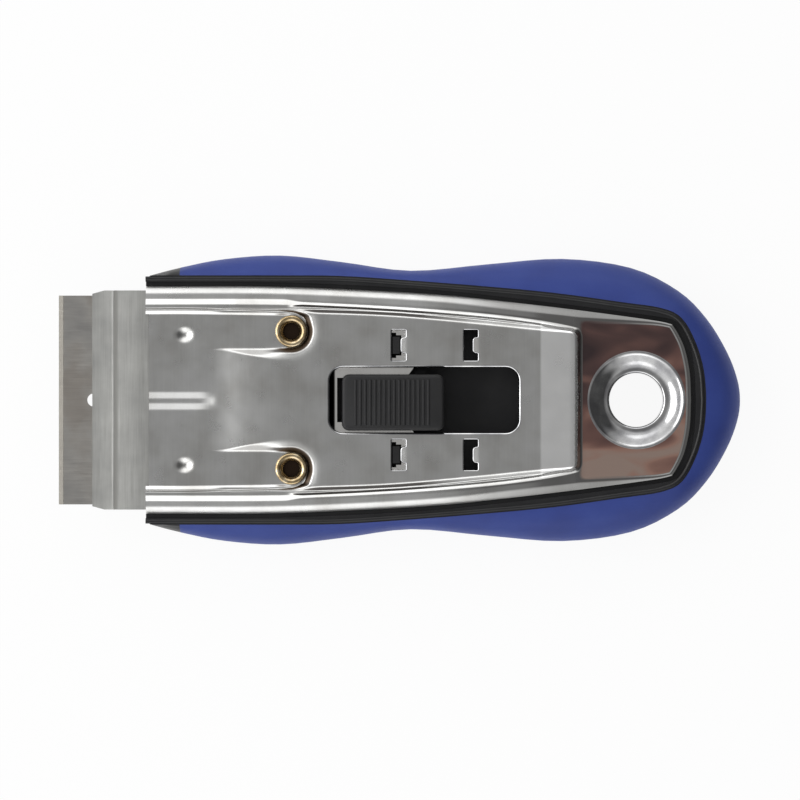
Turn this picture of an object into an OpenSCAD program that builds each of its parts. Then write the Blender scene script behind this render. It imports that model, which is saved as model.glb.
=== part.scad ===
// Retractable razor blade scraper with a soft grip and a hanging hole.
// +Z is up, out of the steel top plate, and -X is the way the blade comes out.
// The origin lies under the middle of the whole object, on the surface it rests on.
// Places named _at are measured along X from the handle's front corners.

/* [Handle] */
// Reach of the soft grip past the rim at its widest
grip_over = 3.8; // [3:0.1:5]
// Reach of the soft grip past the rim at the tail
grip_tail = 6.6; // [5:0.1:8]
// Width of the rim's top
rim_top = 1.15; // [1:0.05:1.6]
// Distance from the rear end of the plate's recess to the rim's end
tail_land = 2.7; // [2:0.1:3.5]
// Height of the rim above the surface the tool lies on
rim_h = 12.2; // [12:0.1:13]
// Height at which the grip is widest
belly_h = 6.2; // [5:0.1:7]
// Length of the bare nose ahead of the soft grip
nose_len = 6.2; // [4:0.1:8]
// Length of the slope under the nose
nose_slope = 24; // [18:0.5:28]
// Height of the underside at the front corners
nose_lift = 4.6; // [3:0.1:5]
// Rise of the grip's lower edge at the tail
tail_lift = 0.6; // [0:0.1:1]
// Thickness of the soft skin under the handle
skin_t = 1.2; // [1.1:0.1:1.6]

/* [Top plate] */
// Thickness of the stamped steel plate
plate_t = 0.8; // [0.6:0.05:0.9]
// Width of the plate's flange outside the jaws
plate_lap = 0.75; // [0.6:0.05:0.9]
// Reach of the plate behind the middle of the hanging hole
plate_tail = 9.9; // [9.6:0.1:10.5]
// Gap between the plate's edge and the rim
plate_gap = 0.8; // [0.5:0.1:0.9]
// Depth of the flange below the rim
flange_drop = 0.7; // [0.5:0.1:1]
// Height of the front pad above the flange
pad_rise = 0.6; // [0.5:0.05:0.7]
// Height of the side rails above the front pad
rail_rise = 0.2; // [0.1:0.05:0.3]
// Height of the plateau above the front pad
plateau_rise = 1.1; // [1:0.05:1.3]
// Land of the plateau behind the thumb slot
rear_land = 10.8; // [9:0.1:12]
// Place where the ramp up to the plateau starts
ramp_at = 12.2; // [11:0.1:13.5]
// Length of the ramp
ramp_len = 12.6; // [10:0.1:13]

/* [Hanging hole] */
// Radius of the hole
hang_r = 4.9; // [4.4:0.1:5.1]
// Land between the plateau and the dish
dish_land = 2.05; // [1.5:0.05:3]
// Radius of the dish round the hole
dish_r = 8.65; // [8:0.05:9]
// Depth of the dish
dish_depth = 1.2; // [0.8:0.1:1.5]
// Length of the drawn collar in the hole
collar_len = 2.4; // [1:0.1:3]

/* [Slot and windows] */
// Room for the button along the slot, beyond its travel
slot_play = 2.9; // [2.8:0.1:4]
// Room for the button on each side of the slot
slot_side = 0.85; // [0.8:0.05:1.1]
// Radius of the slot's corners
slot_r = 2.4; // [1.5:0.1:3]
// Land between the rivets' middles and the slot
slot_land = 6.7; // [6.4:0.1:8]
// Distance of the front latch windows behind the slot's front
window_back = 11.55; // [11.3:0.05:11.8]
// Length of a latch window along the handle
window_len = 2.5; // [2.4:0.05:2.8]
// Width of a latch window
window_w = 5.5; // [5:0.1:6]
// Land between the slot and a window
window_land = 1.25; // [1:0.05:1.6]
// Length of the tongue in a window
tongue_len = 0.95; // [0.7:0.05:1]
// Width of the tongue in a window
tongue_w = 3; // [2.6:0.1:3.4]

/* [Rivets] */
// Radius of a rivet's rolled head
head_r = 2.9; // [2.7:0.05:3]
// Radius of a rivet's shank
shank_r = 2.2; // [2.1:0.05:2.3]
// Radius of the hole down a rivet
eyelet_r = 1.8; // [1.5:0.05:1.8]
// Distance of the rivets' middles behind the blade, when it is all the way in
rivet_back = 10.35; // [10:0.05:11.5]
// Distance of the rivets' middles from the ends of the blade
rivet_inset = 6.55; // [6.3:0.05:7]

/* [Jaws] */
// Reach of the jaws ahead of the handle
jaw_reach = 9.8; // [8:0.1:12]
// Thickness of the jaw sheets
jaw_t = 0.6; // [0.5:0.05:0.7]
// Length of the jaws' lips, ahead of the joggle
lip_len = 3.9; // [3:0.1:5]
// Length of the joggle behind the lips
joggle_len = 0.6; // [0.4:0.1:1]
// Length of the slanted front corners of the jaws
jaw_corner = 2.2; // [1:0.1:3]

/* [Blade] */
// Length of the cutting edge
blade_len = 38.1; // [37:0.1:38.3]
// Depth of the blade, from the edge to the back
blade_depth = 19.05; // [18.5:0.05:19.5]
// Thickness of the blade
blade_t = 0.25; // [0.2:0.01:0.35]
// Width of the ground bevel
bevel_w = 0.8; // [0.4:0.1:1.5]
// Depth of the folded back
spine_depth = 4.8; // [4:0.1:5.2]
// Thickness of the folded back
spine_t = 1.1; // [0.9:0.05:1.15]
// Reach of the edge ahead of the jaws
blade_reach = 6.2; // [5.5:0.1:6.8]
// Radius of the hole in the blade
blade_hole_r = 1.2; // [0.8:0.1:1.4]
// Distance of the blade's hole from the edge
blade_hole_at = 6.4; // [5:0.1:7]

/* [Carrier and button] */
// Travel of the blade, all the way out to all the way in
blade_travel = 13.1; // [12.8:0.05:13.2]
// Thickness of the blade carrier
carrier_t = 0.8; // [0.7:0.05:0.85]
// Width of the carrier's edge outside its guide slots
guide_wall = 1.95; // [1.5:0.05:2.4]
// Rise of the carrier's tail above its front
crank_rise = 0.9; // [0.5:0.05:0.95]
// Width of the thumb button
button_w = 10.2; // [9.8:0.1:10.3]
// Length of the thumb button
button_len = 18.6; // [18:0.1:18.7]
// Height of the button's rear above the plateau
button_rise = 2.8; // [2:0.1:3.5]
// Travel of the button when it is pressed
press_travel = 1; // [0.9:0.05:1.05]
// Side play that the button has taken up in its slot
button_play = 0.45; // [0:0.05:0.5]

/* [Hidden] */
$fn = 64;

// Overrun of every cut, gap of pieces that slide, and gap of pieces that touch
cut = 1;
run_gap = 0.3;
seat_gap = 0.05;

// Widths, from the blade outwards
jaw_half = blade_len / 2 + run_gap + jaw_t;
plate_w = 2 * (jaw_half + plate_lap);
rim_w = plate_w + 2 * (plate_gap + rim_top);
grip_w = rim_w + 2 * grip_over;
rivet_y = blade_len / 2 - rivet_inset;
guide_half = shank_r + run_gap + seat_gap;
carrier_w = 2 * (rivet_y + guide_half + guide_wall);
jaw_tail_half = carrier_w / 2 + run_gap;
slot_w = button_w + 2 * slot_side;
window_y = slot_w / 2 + window_land + window_w / 2;
tail_edge = 0.5;
carrier_tail_w = 2 * (window_y + window_w / 2 + tail_edge);

// Lengths, from the blade backwards
rivet_at = blade_depth - blade_reach - jaw_reach + blade_travel + rivet_back;
slot_at = rivet_at + slot_land;
slot_len = button_len + blade_travel + slot_play;
plateau_end = slot_at + slot_len + rear_land;
hang_at = plateau_end + dish_land + dish_r;
plate_len = hang_at + plate_tail;
rim_len = plate_len + tail_land;
handle_len = rim_len + grip_tail;

// Places along the handle
overall_len = blade_reach + jaw_reach + handle_len;
front_x = blade_reach + jaw_reach - overall_len / 2;
jaw_x = front_x - jaw_reach;
edge_x = jaw_x - blade_reach;
back_x = edge_x + blade_depth;
rivet_x = front_x + rivet_at;
hang_x = front_x + hang_at;
slot_x = front_x + slot_at;
window_x = slot_x + window_back;
ramp_x = front_x + ramp_at;

// Heights of the plate, from the rim down
flange_z = rim_h - flange_drop;
ledge_z = flange_z - plate_t;
pad_z = flange_z + pad_rise;
rail_z = pad_z + rail_rise;
plateau_z = pad_z + plateau_rise;

// Heights of the blade channel between the jaws, and of what slides in it
lip_t = 0.3;
clip_t = 0.5;
mouth_gap = 0.25;
channel_top = ledge_z - jaw_t;
carrier_top = channel_top - run_gap;
carrier_z = carrier_top - carrier_t;
spine_top = carrier_top - lip_t - seat_gap;
spine_z = spine_top - spine_t;
blade_mid = spine_top - spine_t / 2;
clip_top = spine_z - seat_gap;
clip_z = clip_top - clip_t;
channel_z = clip_z - run_gap;
floor_z = channel_z - jaw_t;
mouth_top = spine_top + mouth_gap;
mouth_z = spine_z - mouth_gap;
tail_top = carrier_top + crank_rise;
tail_z = tail_top - carrier_t;

// Outlines, as shares of their length and of half their width, front to tail
grip_shares = [[0, 0.855], [0.057, 0.917], [0.13, 0.975], [0.225, 1], [0.33, 0.954],
    [0.445, 0.895], [0.575, 0.94], [0.7, 0.977], [0.815, 0.915], [0.895, 0.757],
    [0.943, 0.565], [0.977, 0.34], [0.995, 0.15], [1, 0]];
rim_shares = [[0, 1], [0.061, 1], [0.138, 1], [0.24, 1], [0.345, 0.996],
    [0.455, 0.965], [0.59, 0.918], [0.725, 0.862], [0.85, 0.785], [0.92, 0.738],
    [0.957, 0.655], [0.982, 0.455], [0.996, 0.235], [1, 0]];
plate_shares = [[0, 1], [0.2, 1], [0.35, 0.978], [0.53, 0.93], [0.66, 0.865], [0.8, 0.785],
    [0.93, 0.7], [0.965, 0.665], [0.985, 0.585], [0.997, 0.3], [1, 0]];
rail_shares = [[0, 0.87], [0.25, 0.868], [0.38, 0.858], [0.59, 0.816], [0.78, 0.76],
    [0.9, 0.705], [0.97, 0.66], [0.995, 0.61], [1, 0.3], [1, 0]];
plateau_shares = [[0.41, 0.75], [0.59, 0.72], [0.78, 0.655], [0.9, 0.61], [0.97, 0.59],
    [0.99, 0.55], [0.995, 0.3], [0.995, 0]];
spline_steps = 4;

// Point on a smooth curve through b and c, led by a and d
function curve(a, b, c, d, t) =
    (2 * b + (c - a) * t + (2 * a - 5 * b + 4 * c - d) * t * t + (3 * b - a - 3 * c + d) * t * t * t) / 2;
function flipped(p) = [p.x, -p.y];
// Smooth half outline through the stations, from the front to the centre line at the tail
function half_line(s, steps) = [for (i = [0 : len(s) - 2]) each [for (k = [0 : steps - 1])
    curve(i == 0 ? 2 * s[0] - s[1] : s[i - 1], s[i], s[i + 1],
        i == len(s) - 2 ? flipped(s[i]) : s[i + 2], k / steps)], s[len(s) - 1]];
function placed(shares, x0, length, width) =
    [for (s = shares) [x0 + s.x * length, s.y * width / 2]];
// Whole outline, anticlockwise: down the -Y side to the tail and back up the +Y side
function whole(half) = concat([for (p = half) flipped(p)],
    [for (i = [len(half) - 2 : -1 : 0]) half[i]]);
function unit(v) = v / norm(v);
// Half outline with each point moved outwards by d; its front end keeps its place along X
function grown(half, d) = [for (i = [0 : len(half) - 1])
    let (ahead = i == len(half) - 1 ? flipped(half[i - 1]) : half[i + 1],
        along = unit(ahead - half[max(i - 1, 0)]))
    half[i] + d * [-along.y, along.x]];

grip_half = half_line(placed(grip_shares, front_x, handle_len, grip_w), spline_steps);
rim_half = half_line(placed(rim_shares, front_x, rim_len, rim_w), spline_steps);
plate_half = half_line(placed(plate_shares, front_x, plate_len, plate_w), spline_steps);
rail_half = half_line(placed(rail_shares, front_x, plateau_end, plate_w), spline_steps);

// Height of the handle's lower edge
function under_z(x) = max(0, nose_lift * (1 - (x - front_x) / nose_slope))
    + tail_lift * pow(max(0, (x - hang_x) / (handle_len - hang_at)), 2);

// Solid through rings of points, bottom to top, each ring anticlockwise from above
module loft(rings) {
    n = len(rings[0]);
    m = len(rings);
    polyhedron(points = [for (r = rings) each r], faces = concat(
        [[for (i = [0 : n - 1]) i]], [[for (i = [n - 1 : -1 : 0]) (m - 1) * n + i]],
        [for (k = [0 : m - 2], i = [0 : n - 1]) let (j = (i + 1) % n)
            each [[k * n + i, (k + 1) * n + i, k * n + j], [k * n + j, (k + 1) * n + i, (k + 1) * n + j]]]));
}

// Profile in X and Z, drawn out to a width along Y
module across(width, y = 0) {
    translate([0, y + width / 2, 0]) rotate([90, 0, 0]) linear_extrude(width) children();
}

module rounded_slot(x, length, width, r, z0, z1) {
    translate([x, -width / 2, z0]) linear_extrude(z1 - z0) union() {
        translate([r, 0]) square([length - 2 * r, width]);
        translate([0, r]) square([length, width - 2 * r]);
        for (px = [r, length - r], py = [r, width - r]) translate([px, py]) circle(r);
    }
}

// Body of the handle

// Band of the grip between the rim's outline and the widest one
band_up_angles = [90, 68, 48, 30, 14];
band_down_angles = [0, -30, -60, -90];
tuck_share = 0.55;
band_in = 0.5;
module grip_band(inset) {
    n = len(grip_half);
    inner = [for (p = rim_half) p - [0, inset]];
    pairs = concat([for (i = [0 : n - 1]) [flipped(inner[i]), flipped(grip_half[i])]],
        [for (i = [n - 2 : -1 : 0]) [inner[i], grip_half[i]]]);
    rings = [for (q = pairs) let (r = q[0], s = q[1] - q[0], low = under_z(q[1].x)) concat(
        [for (a = band_up_angles) [each r + s * cos(a), belly_h + (rim_h - belly_h) * sin(a)]],
        [for (a = band_down_angles) [each r + s * (1 - (1 - tuck_share) * (1 - cos(a))),
            belly_h + (belly_h - low) * sin(a)]], [[each r, low]])];
    loft(rings);
}

skin_x = front_x + nose_slope + skin_t;
skin_lap = 0.3;
rib_pitch = 6;
rib_w = 1.6;
rib_depth = 0.6;
rib_half = 15.1;
module soft_grip() {
    color("#3f4f9c") difference() {
        union() {
            intersection() {
                grip_band(0);
                translate([front_x + nose_len, -grip_w, -cut])
                    cube([handle_len, 2 * grip_w, rim_h + 2 * cut]);
            }
            intersection() {
                linear_extrude(skin_t) polygon(whole(grown(rim_half, skin_lap)));
                translate([skin_x, -grip_w, -cut]) cube([handle_len, 2 * grip_w, skin_t + 2 * cut]);
            }
        }
        for (x = [skin_x + rib_pitch : rib_pitch : hang_x - dish_r - rib_pitch])
            translate([x, -rib_half, -cut]) cube([rib_w, 2 * rib_half, rib_depth + cut]);
        translate([hang_x, 0, -cut]) cylinder(r = boss_r + plate_t, h = skin_t + 2 * cut);
    }
}

jaw_shoulder = 5.5;
jaw_tail = 4;
jaw_full_end = rivet_x - jaw_shoulder;
jaw_end = rivet_x + jaw_tail;
wide_end = rivet_x + guide_half + guide_wall;
wide_taper = 3.8;
carrier_tail = 8.75;
carrier_end = window_x + carrier_tail;
well_gap = 0.6;
tail_gap = 1.2;
end_gap = 1.8;
boss_r = hang_r + plate_t + seat_gap;
corner_cut = 0.9;
rivet_floor = 1.4;
rivet_foot = skin_t + rivet_floor;
module handle_shell() {
    color("#2a2a2c") difference() {
        union() {
            linear_extrude(rim_h) polygon(whole(rim_half));
            intersection() {
                grip_band(band_in);
                translate([front_x - cut, -grip_w, -cut])
                    cube([nose_len + cut, 2 * grip_w, rim_h + 2 * cut]);
            }
        }
        // recess for the plate
        translate([0, 0, ledge_z]) linear_extrude(rim_h) polygon(whole(concat(
            [[front_x - cut, plate_w / 2 + plate_gap]], grown(plate_half, plate_gap))));
        // well for the jaws, the carrier and its tail
        for (w = [[jaw_full_end + seat_gap, jaw_half + seat_gap],
                [wide_end + wide_taper + blade_travel + well_gap, carrier_w / 2 + well_gap],
                [carrier_end + blade_travel + end_gap, carrier_tail_w / 2 + tail_gap]])
            translate([front_x - cut, -w[1], floor_z])
                cube([w[0] - front_x + cut, 2 * w[1], rim_h]);
        for (side = [-1, 1]) translate([rivet_x, side * rivet_y, rivet_foot])
            cylinder(r = shank_r + seat_gap, h = rim_h);
        // hanging hole and the seat of its dish
        translate([hang_x, 0, -cut]) cylinder(r = boss_r, h = rim_h + 2 * cut);
        translate([hang_x, 0, ledge_z - dish_depth - seat_gap]) cylinder(r = dish_r + plate_t, h = rim_h);
        // slope under the nose, and room for the soft skin
        across(2 * grip_w) polygon([[front_x - cut, -cut], [front_x + nose_slope, -cut],
            [front_x + nose_slope, 0], [front_x, nose_lift],
            [front_x - cut, nose_lift * (1 + cut / nose_slope)]]);
        translate([skin_x, -grip_w, -cut]) cube([handle_len, 2 * grip_w, skin_t + cut]);
        // rounded front corners
        for (side = [-1, 1]) translate([0, 0, -cut]) linear_extrude(rim_h + 2 * cut)
            polygon([[front_x - cut, side * (rim_w / 2 - corner_cut - cut)],
                [front_x + corner_cut + cut, side * (rim_w / 2 + cut)],
                [front_x - cut, side * (rim_w / 2 + cut)]]);
    }
}

// Stamped top plate

// How far a raised form reaches down inside
sink = 0.2;
// Pad between the rails
pad_back = 0.6;
pad_share = 0.768;
pad_rear_share = 0.705;
pad_half = pad_share * plate_w / 2;
pad_rear_half = pad_rear_share * plate_w / 2;
pad_rear_reach = 4.9;
pad_rear_x = rivet_x + pad_rear_reach;
// Pockets in the plateau, one round each rivet
pocket_land = 1.2;
pocket_r = head_r + pocket_land;
pocket_y = rivet_y - pocket_r;
pocket_angles = [-90, -75, -60, -45, -30, -15, 0, 15, 30, 40];
tongue_lead = 2;
tongue_x = ramp_x - tongue_lead;
tongue_shares = [0, 0.25, 0.5, 0.75];
// Half outline of the plateau: its tongue between the rivets, round a rivet, and on to the rear
plateau_half = concat(
    [for (t = tongue_shares) [tongue_x + t * (rivet_x - tongue_x), pocket_y]],
    [for (a = pocket_angles) [rivet_x + pocket_r * cos(a), rivet_y + pocket_r * sin(a)]],
    half_line(placed(plateau_shares, front_x, plateau_end, plate_w), spline_steps));
// Half outlines of the hollows under the pad and rails, and under the plateau
pad_hollow_shares = [[0.022, 0.815], [0.25, 0.812], [0.38, 0.802], [0.59, 0.76], [0.78, 0.704],
    [0.9, 0.648], [0.965, 0.605], [0.985, 0.52], [0.985, 0]];
hollow_shares = [[0.315, 0.35], [0.35, 0.35], [0.405, 0.45], [0.44, 0.66], [0.59, 0.655],
    [0.78, 0.59], [0.9, 0.545], [0.965, 0.5], [0.98, 0.3], [0.98, 0]];

// Dimples and a bead pressed down into the pad
dimple_at = 7.06;
dimple_x = front_x + dimple_at;
dimple_inset = 0.65;
dimple_y = rivet_y - dimple_inset;
dimple_r = 1.55;
dimple_depth = 0.5;
bead_len = 12.2;
bead_w = 3.4;
bead_depth = 0.5;
function cap_r(half, depth) = (half * half + depth * depth) / (2 * depth);
bead_r = cap_r(bead_w / 2, bead_depth);
dimple_ball_r = cap_r(dimple_r, dimple_depth);

lip_round = 0.35;
dish_z = flange_z - dish_depth;
collar_z = dish_z - plate_t - collar_len;
module dish_profile() {
    polygon([[dish_r + sink, flange_z], [dish_r, flange_z],
        [hang_r + plate_t, dish_z], [hang_r + lip_round, dish_z],
        [hang_r, dish_z - lip_round], [hang_r, collar_z],
        [hang_r + plate_t, collar_z], [hang_r + plate_t, dish_z - plate_t],
        [dish_r, ledge_z], [dish_r + sink, ledge_z]]);
}

module latch_window(x, y) {
    translate([x, y - window_w / 2, ledge_z]) difference() {
        cube([window_len, window_w, rim_h]);
        translate([window_len - tongue_len, (window_w - tongue_w) / 2, -cut])
            cube([tongue_len + cut, tongue_w, rim_h + 2 * cut]);
    }
}

module raised_forms() {
    difference() {
        translate([0, 0, flange_z - sink]) linear_extrude(rail_z - flange_z + sink) polygon(whole(rail_half));
        translate([0, 0, pad_z]) linear_extrude(rim_h) polygon([[front_x - cut, -pad_half],
            [rivet_x - head_r, -pad_half], [pad_rear_x, -pad_rear_half],
            [pad_rear_x, pad_rear_half], [rivet_x - head_r, pad_half], [front_x - cut, pad_half]]);
    }
    difference() {
        translate([0, 0, pad_z - sink]) linear_extrude(plateau_z - pad_z + sink) polygon(whole(plateau_half));
        across(plate_w) polygon([[tongue_x - cut, pad_z - sink - cut], [ramp_x - cut, pad_z - sink - cut],
            [ramp_x, pad_z], [ramp_x + ramp_len, plateau_z], [ramp_x + ramp_len, plateau_z + cut],
            [tongue_x - cut, plateau_z + cut]]);
    }
}

module top_plate() {
    color("#8f8f8e") {
        difference() {
            union() {
                translate([0, 0, ledge_z]) linear_extrude(plate_t) polygon(whole(plate_half));
                raised_forms();
            }
            // hollow behind the pad, but not where the rivets hold it, and behind the plateau
            difference() {
                translate([0, 0, ledge_z - cut]) linear_extrude(pad_z - plate_t - ledge_z + cut)
                    polygon(whole(placed(pad_hollow_shares, front_x, plateau_end, plate_w)));
                for (side = [-1, 1]) translate([rivet_x, side * rivet_y, ledge_z - 2 * cut])
                    cylinder(r = head_r + plate_t, h = rim_h);
            }
            translate([0, 0, ledge_z - cut]) linear_extrude(plateau_z - plate_t - ledge_z + cut)
                polygon(whole(placed(hollow_shares, front_x, plateau_end, plate_w)));
            // front edge of the pad, set back between the rails
            translate([front_x - cut, -pad_half, ledge_z - cut]) cube([pad_back + cut, 2 * pad_half, rim_h]);
            rounded_slot(slot_x, slot_len, slot_w, slot_r, ledge_z, plateau_z + cut);
            for (side = [-1, 1], step = [0, blade_travel]) latch_window(window_x + step, side * window_y);
            for (side = [-1, 1]) translate([rivet_x, side * rivet_y, ledge_z - cut])
                cylinder(r = shank_r + seat_gap, h = rim_h);
            for (side = [-1, 1]) translate([dimple_x, side * dimple_y, pad_z + dimple_ball_r - dimple_depth])
                sphere(dimple_ball_r);
            translate([front_x - cut, 0, pad_z + bead_r - bead_depth]) rotate([0, 90, 0])
                cylinder(r = bead_r, h = bead_len + cut);
            translate([hang_x, 0, ledge_z - cut]) cylinder(r = dish_r, h = rim_h);
        }
        translate([hang_x, 0, 0]) rotate_extrude() dish_profile();
    }
}

// Jaws that hold and guide the blade

joggle_x = jaw_x + lip_len;
throat_x = joggle_x + joggle_len;

module jaw_trims() {
    for (side = [-1, 1]) {
        translate([0, 0, -cut]) linear_extrude(2 * rim_h) polygon([[jaw_x - cut, side * (jaw_half + cut)],
            [jaw_x - cut, side * (jaw_half - jaw_t)], [jaw_x, side * (jaw_half - jaw_t)],
            [jaw_x + jaw_corner, side * jaw_half], [jaw_x + jaw_corner, side * (jaw_half + cut)]]);
        translate([0, 0, -cut]) linear_extrude(2 * rim_h) polygon([[jaw_full_end, side * (jaw_half + cut)],
            [jaw_full_end, side * jaw_tail_half], [jaw_end + cut, side * jaw_tail_half],
            [jaw_end + cut, side * (jaw_half + cut)]]);
        translate([rivet_x, side * rivet_y, 0]) cylinder(r = shank_r + seat_gap, h = 2 * rim_h);
    }
}

module upper_jaw() {
    color("#a0a09d") difference() {
        across(2 * jaw_half) polygon([[jaw_x, mouth_top], [joggle_x, mouth_top], [throat_x, channel_top],
            [jaw_end, channel_top], [jaw_end, ledge_z], [throat_x, ledge_z],
            [joggle_x, mouth_top + jaw_t], [jaw_x, mouth_top + jaw_t]]);
        jaw_trims();
    }
}

module lower_jaw() {
    color("#8c8c8a") difference() {
        union() {
            across(2 * jaw_half) polygon([[jaw_x, mouth_z - jaw_t], [joggle_x, mouth_z - jaw_t],
                [throat_x, floor_z], [jaw_end, floor_z], [jaw_end, channel_z], [throat_x, channel_z],
                [joggle_x, mouth_z], [jaw_x, mouth_z]]);
            for (side = [-1, 1]) across(jaw_t, side * (jaw_half - jaw_t / 2)) polygon([
                [jaw_x + jaw_corner, mouth_z - jaw_t], [joggle_x, mouth_z - jaw_t], [throat_x, floor_z],
                [jaw_full_end, floor_z], [jaw_full_end, channel_top], [throat_x, channel_top],
                [joggle_x, mouth_top], [jaw_x + jaw_corner, mouth_top]]);
        }
        jaw_trims();
    }
}

// Rivets of rolled brass tube

head_h = 0.6;
head_round = 0.3;
module rivet(y) {
    color("#b8975a") translate([rivet_x, y, 0]) rotate_extrude() polygon([[0, rivet_foot],
        [shank_r, rivet_foot], [shank_r, pad_z], [head_r, pad_z], [head_r, pad_z + head_h - head_round],
        [head_r - head_round, pad_z + head_h], [eyelet_r + head_round, pad_z + head_h],
        [eyelet_r, pad_z], [eyelet_r, rivet_foot + plate_t], [0, rivet_foot + plate_t]]);
}
module rivet_left() { rivet(rivet_y); }
module rivet_right() { rivet(-rivet_y); }

// Blade carrier, the clip under it and the blade

// Reach of the lips over the blade's folded back
lip_grip = 4.2;
lip_x = back_x - lip_grip;
carrier_x = back_x + seat_gap;
crank_lead = 1.5;
crank_x = wide_end + crank_lead;
crank_len = 1.7;
// Stem of the button in the fork of the carrier's tail, and the lugs in their openings
stem_half = 3.3;
fork_half = stem_half + button_play + run_gap;
cap_lead = 2.5;
cap_x = slot_x + cap_lead;
fork_play = 0.9;
fork_x = cap_x - fork_play;
mouth_len = 6.1;
lug_play = 0.15;
lug_x = window_x + lug_play;
lug_len = 1.3;
lug_w = 3.1;
lug_front = 1.3;
lug_side = 0.75;
lug_rear = 0.3;
clip_rivet_r = 0.9;
clip_rivet_y = 8;
clip_rivet_back = 3.45;
clip_rivet_x = back_x + clip_rivet_back;
clip_margin = 2.5;
clip_end = clip_rivet_x + clip_margin;
clip_inset = 1.5;
clip_w = carrier_w - 2 * clip_inset;
module blade_carrier() {
    color("#a3a3a0") difference() {
        intersection() {
            across(carrier_w) polygon([[lip_x, carrier_top - lip_t], [carrier_x, carrier_top - lip_t],
                [carrier_x, carrier_z], [crank_x, carrier_z], [crank_x + crank_len, tail_z],
                [carrier_end, tail_z], [carrier_end, tail_top], [crank_x + crank_len, tail_top],
                [crank_x, carrier_top], [lip_x, carrier_top]]);
            linear_extrude(rim_h) polygon([[lip_x - cut, -carrier_w / 2 - cut],
                [wide_end, -carrier_w / 2 - cut], [wide_end, -carrier_w / 2],
                [wide_end + wide_taper, -carrier_tail_w / 2], [carrier_end + cut, -carrier_tail_w / 2],
                [carrier_end + cut, carrier_tail_w / 2], [wide_end + wide_taper, carrier_tail_w / 2],
                [wide_end, carrier_w / 2], [wide_end, carrier_w / 2 + cut],
                [lip_x - cut, carrier_w / 2 + cut]]);
        }
        for (side = [-1, 1]) {
            translate([0, side * rivet_y, 0]) linear_extrude(rim_h) union() {
                for (x = [rivet_x - blade_travel, rivet_x]) translate([x, 0]) circle(guide_half);
                translate([rivet_x - blade_travel, -guide_half]) square([blade_travel, 2 * guide_half]);
            }
            translate([clip_rivet_x, side * clip_rivet_y, 0]) cylinder(r = clip_rivet_r + seat_gap, h = rim_h);
            translate([lug_x - lug_front, side * window_y - lug_w / 2 - lug_side, 0])
                cube([lug_front + lug_len / 2, lug_w + 2 * lug_side, rim_h]);
            translate([lug_x, side * window_y - lug_w / 2 - lug_rear, 0])
                cube([lug_len + lug_rear, lug_w + 2 * lug_rear, rim_h]);
        }
        linear_extrude(rim_h) polygon([[fork_x, -fork_half], [carrier_end - mouth_len, -fork_half],
            [carrier_end, -carrier_tail_w / 2 + carrier_t], [carrier_end + cut, -carrier_tail_w / 2 + carrier_t],
            [carrier_end + cut, carrier_tail_w / 2 - carrier_t], [carrier_end, carrier_tail_w / 2 - carrier_t],
            [carrier_end - mouth_len, fork_half], [fork_x, fork_half]]);
    }
}

clip_step = 0.5;
module blade_clip() {
    color("#8a8a88") difference() {
        across(clip_w) polygon([[lip_x, clip_z], [carrier_x + run_gap, clip_z],
            [carrier_x + run_gap + clip_step, carrier_z - clip_t], [clip_end, carrier_z - clip_t],
            [clip_end, carrier_z], [carrier_x + run_gap + clip_step, carrier_z],
            [carrier_x + run_gap, clip_top], [lip_x, clip_top]]);
        for (side = [-1, 1]) translate([clip_rivet_x, side * clip_rivet_y, 0])
            cylinder(r = clip_rivet_r + seat_gap, h = rim_h);
    }
}

module clip_rivets() {
    color("#9a9a98") for (side = [-1, 1]) translate([clip_rivet_x, side * clip_rivet_y, 0]) {
        translate([0, 0, carrier_z - clip_t - lip_t]) cylinder(r = clip_rivet_r + clip_t, h = lip_t);
        translate([0, 0, carrier_z - clip_t - lip_t])
            cylinder(r = clip_rivet_r, h = carrier_t + clip_t + lip_t);
    }
}

fold_t = (spine_t - blade_t) / 2;
module razor_blade() {
    color("#7f7b76") difference() {
        across(blade_len) polygon([[edge_x, blade_mid], [edge_x + bevel_w, blade_mid - blade_t / 2],
            [back_x - fold_t, blade_mid - blade_t / 2], [back_x - fold_t, blade_mid + blade_t / 2],
            [edge_x + bevel_w, blade_mid + blade_t / 2]]);
        translate([edge_x + blade_hole_at, 0, 0]) cylinder(r = blade_hole_r, h = rim_h);
    }
}

module blade_spine() {
    color("#6f6f6e") across(blade_len) polygon([[back_x - spine_depth, spine_z], [back_x, spine_z],
        [back_x, spine_top], [back_x - spine_depth, spine_top],
        [back_x - spine_depth, blade_mid + blade_t / 2], [back_x - fold_t, blade_mid + blade_t / 2],
        [back_x - fold_t, blade_mid - blade_t / 2], [back_x - spine_depth, blade_mid - blade_t / 2]]);
}

// Thumb button, the latch arms under it and their spring

cap_sink = 1.2;
cap_z = plateau_z - cap_sink;
cap_front_h = 1.7;
cap_rear_h = plateau_z + button_rise - cap_z;
cap_round = 0.7;
cap_brim = 0.45;
cap_corner = 1.6;
cap_lean = 0.6;
stem_in = 0.2;
stem_x = cap_x + stem_in;
stem_short = 2.8;
stem_len = button_len - stem_short;
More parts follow.
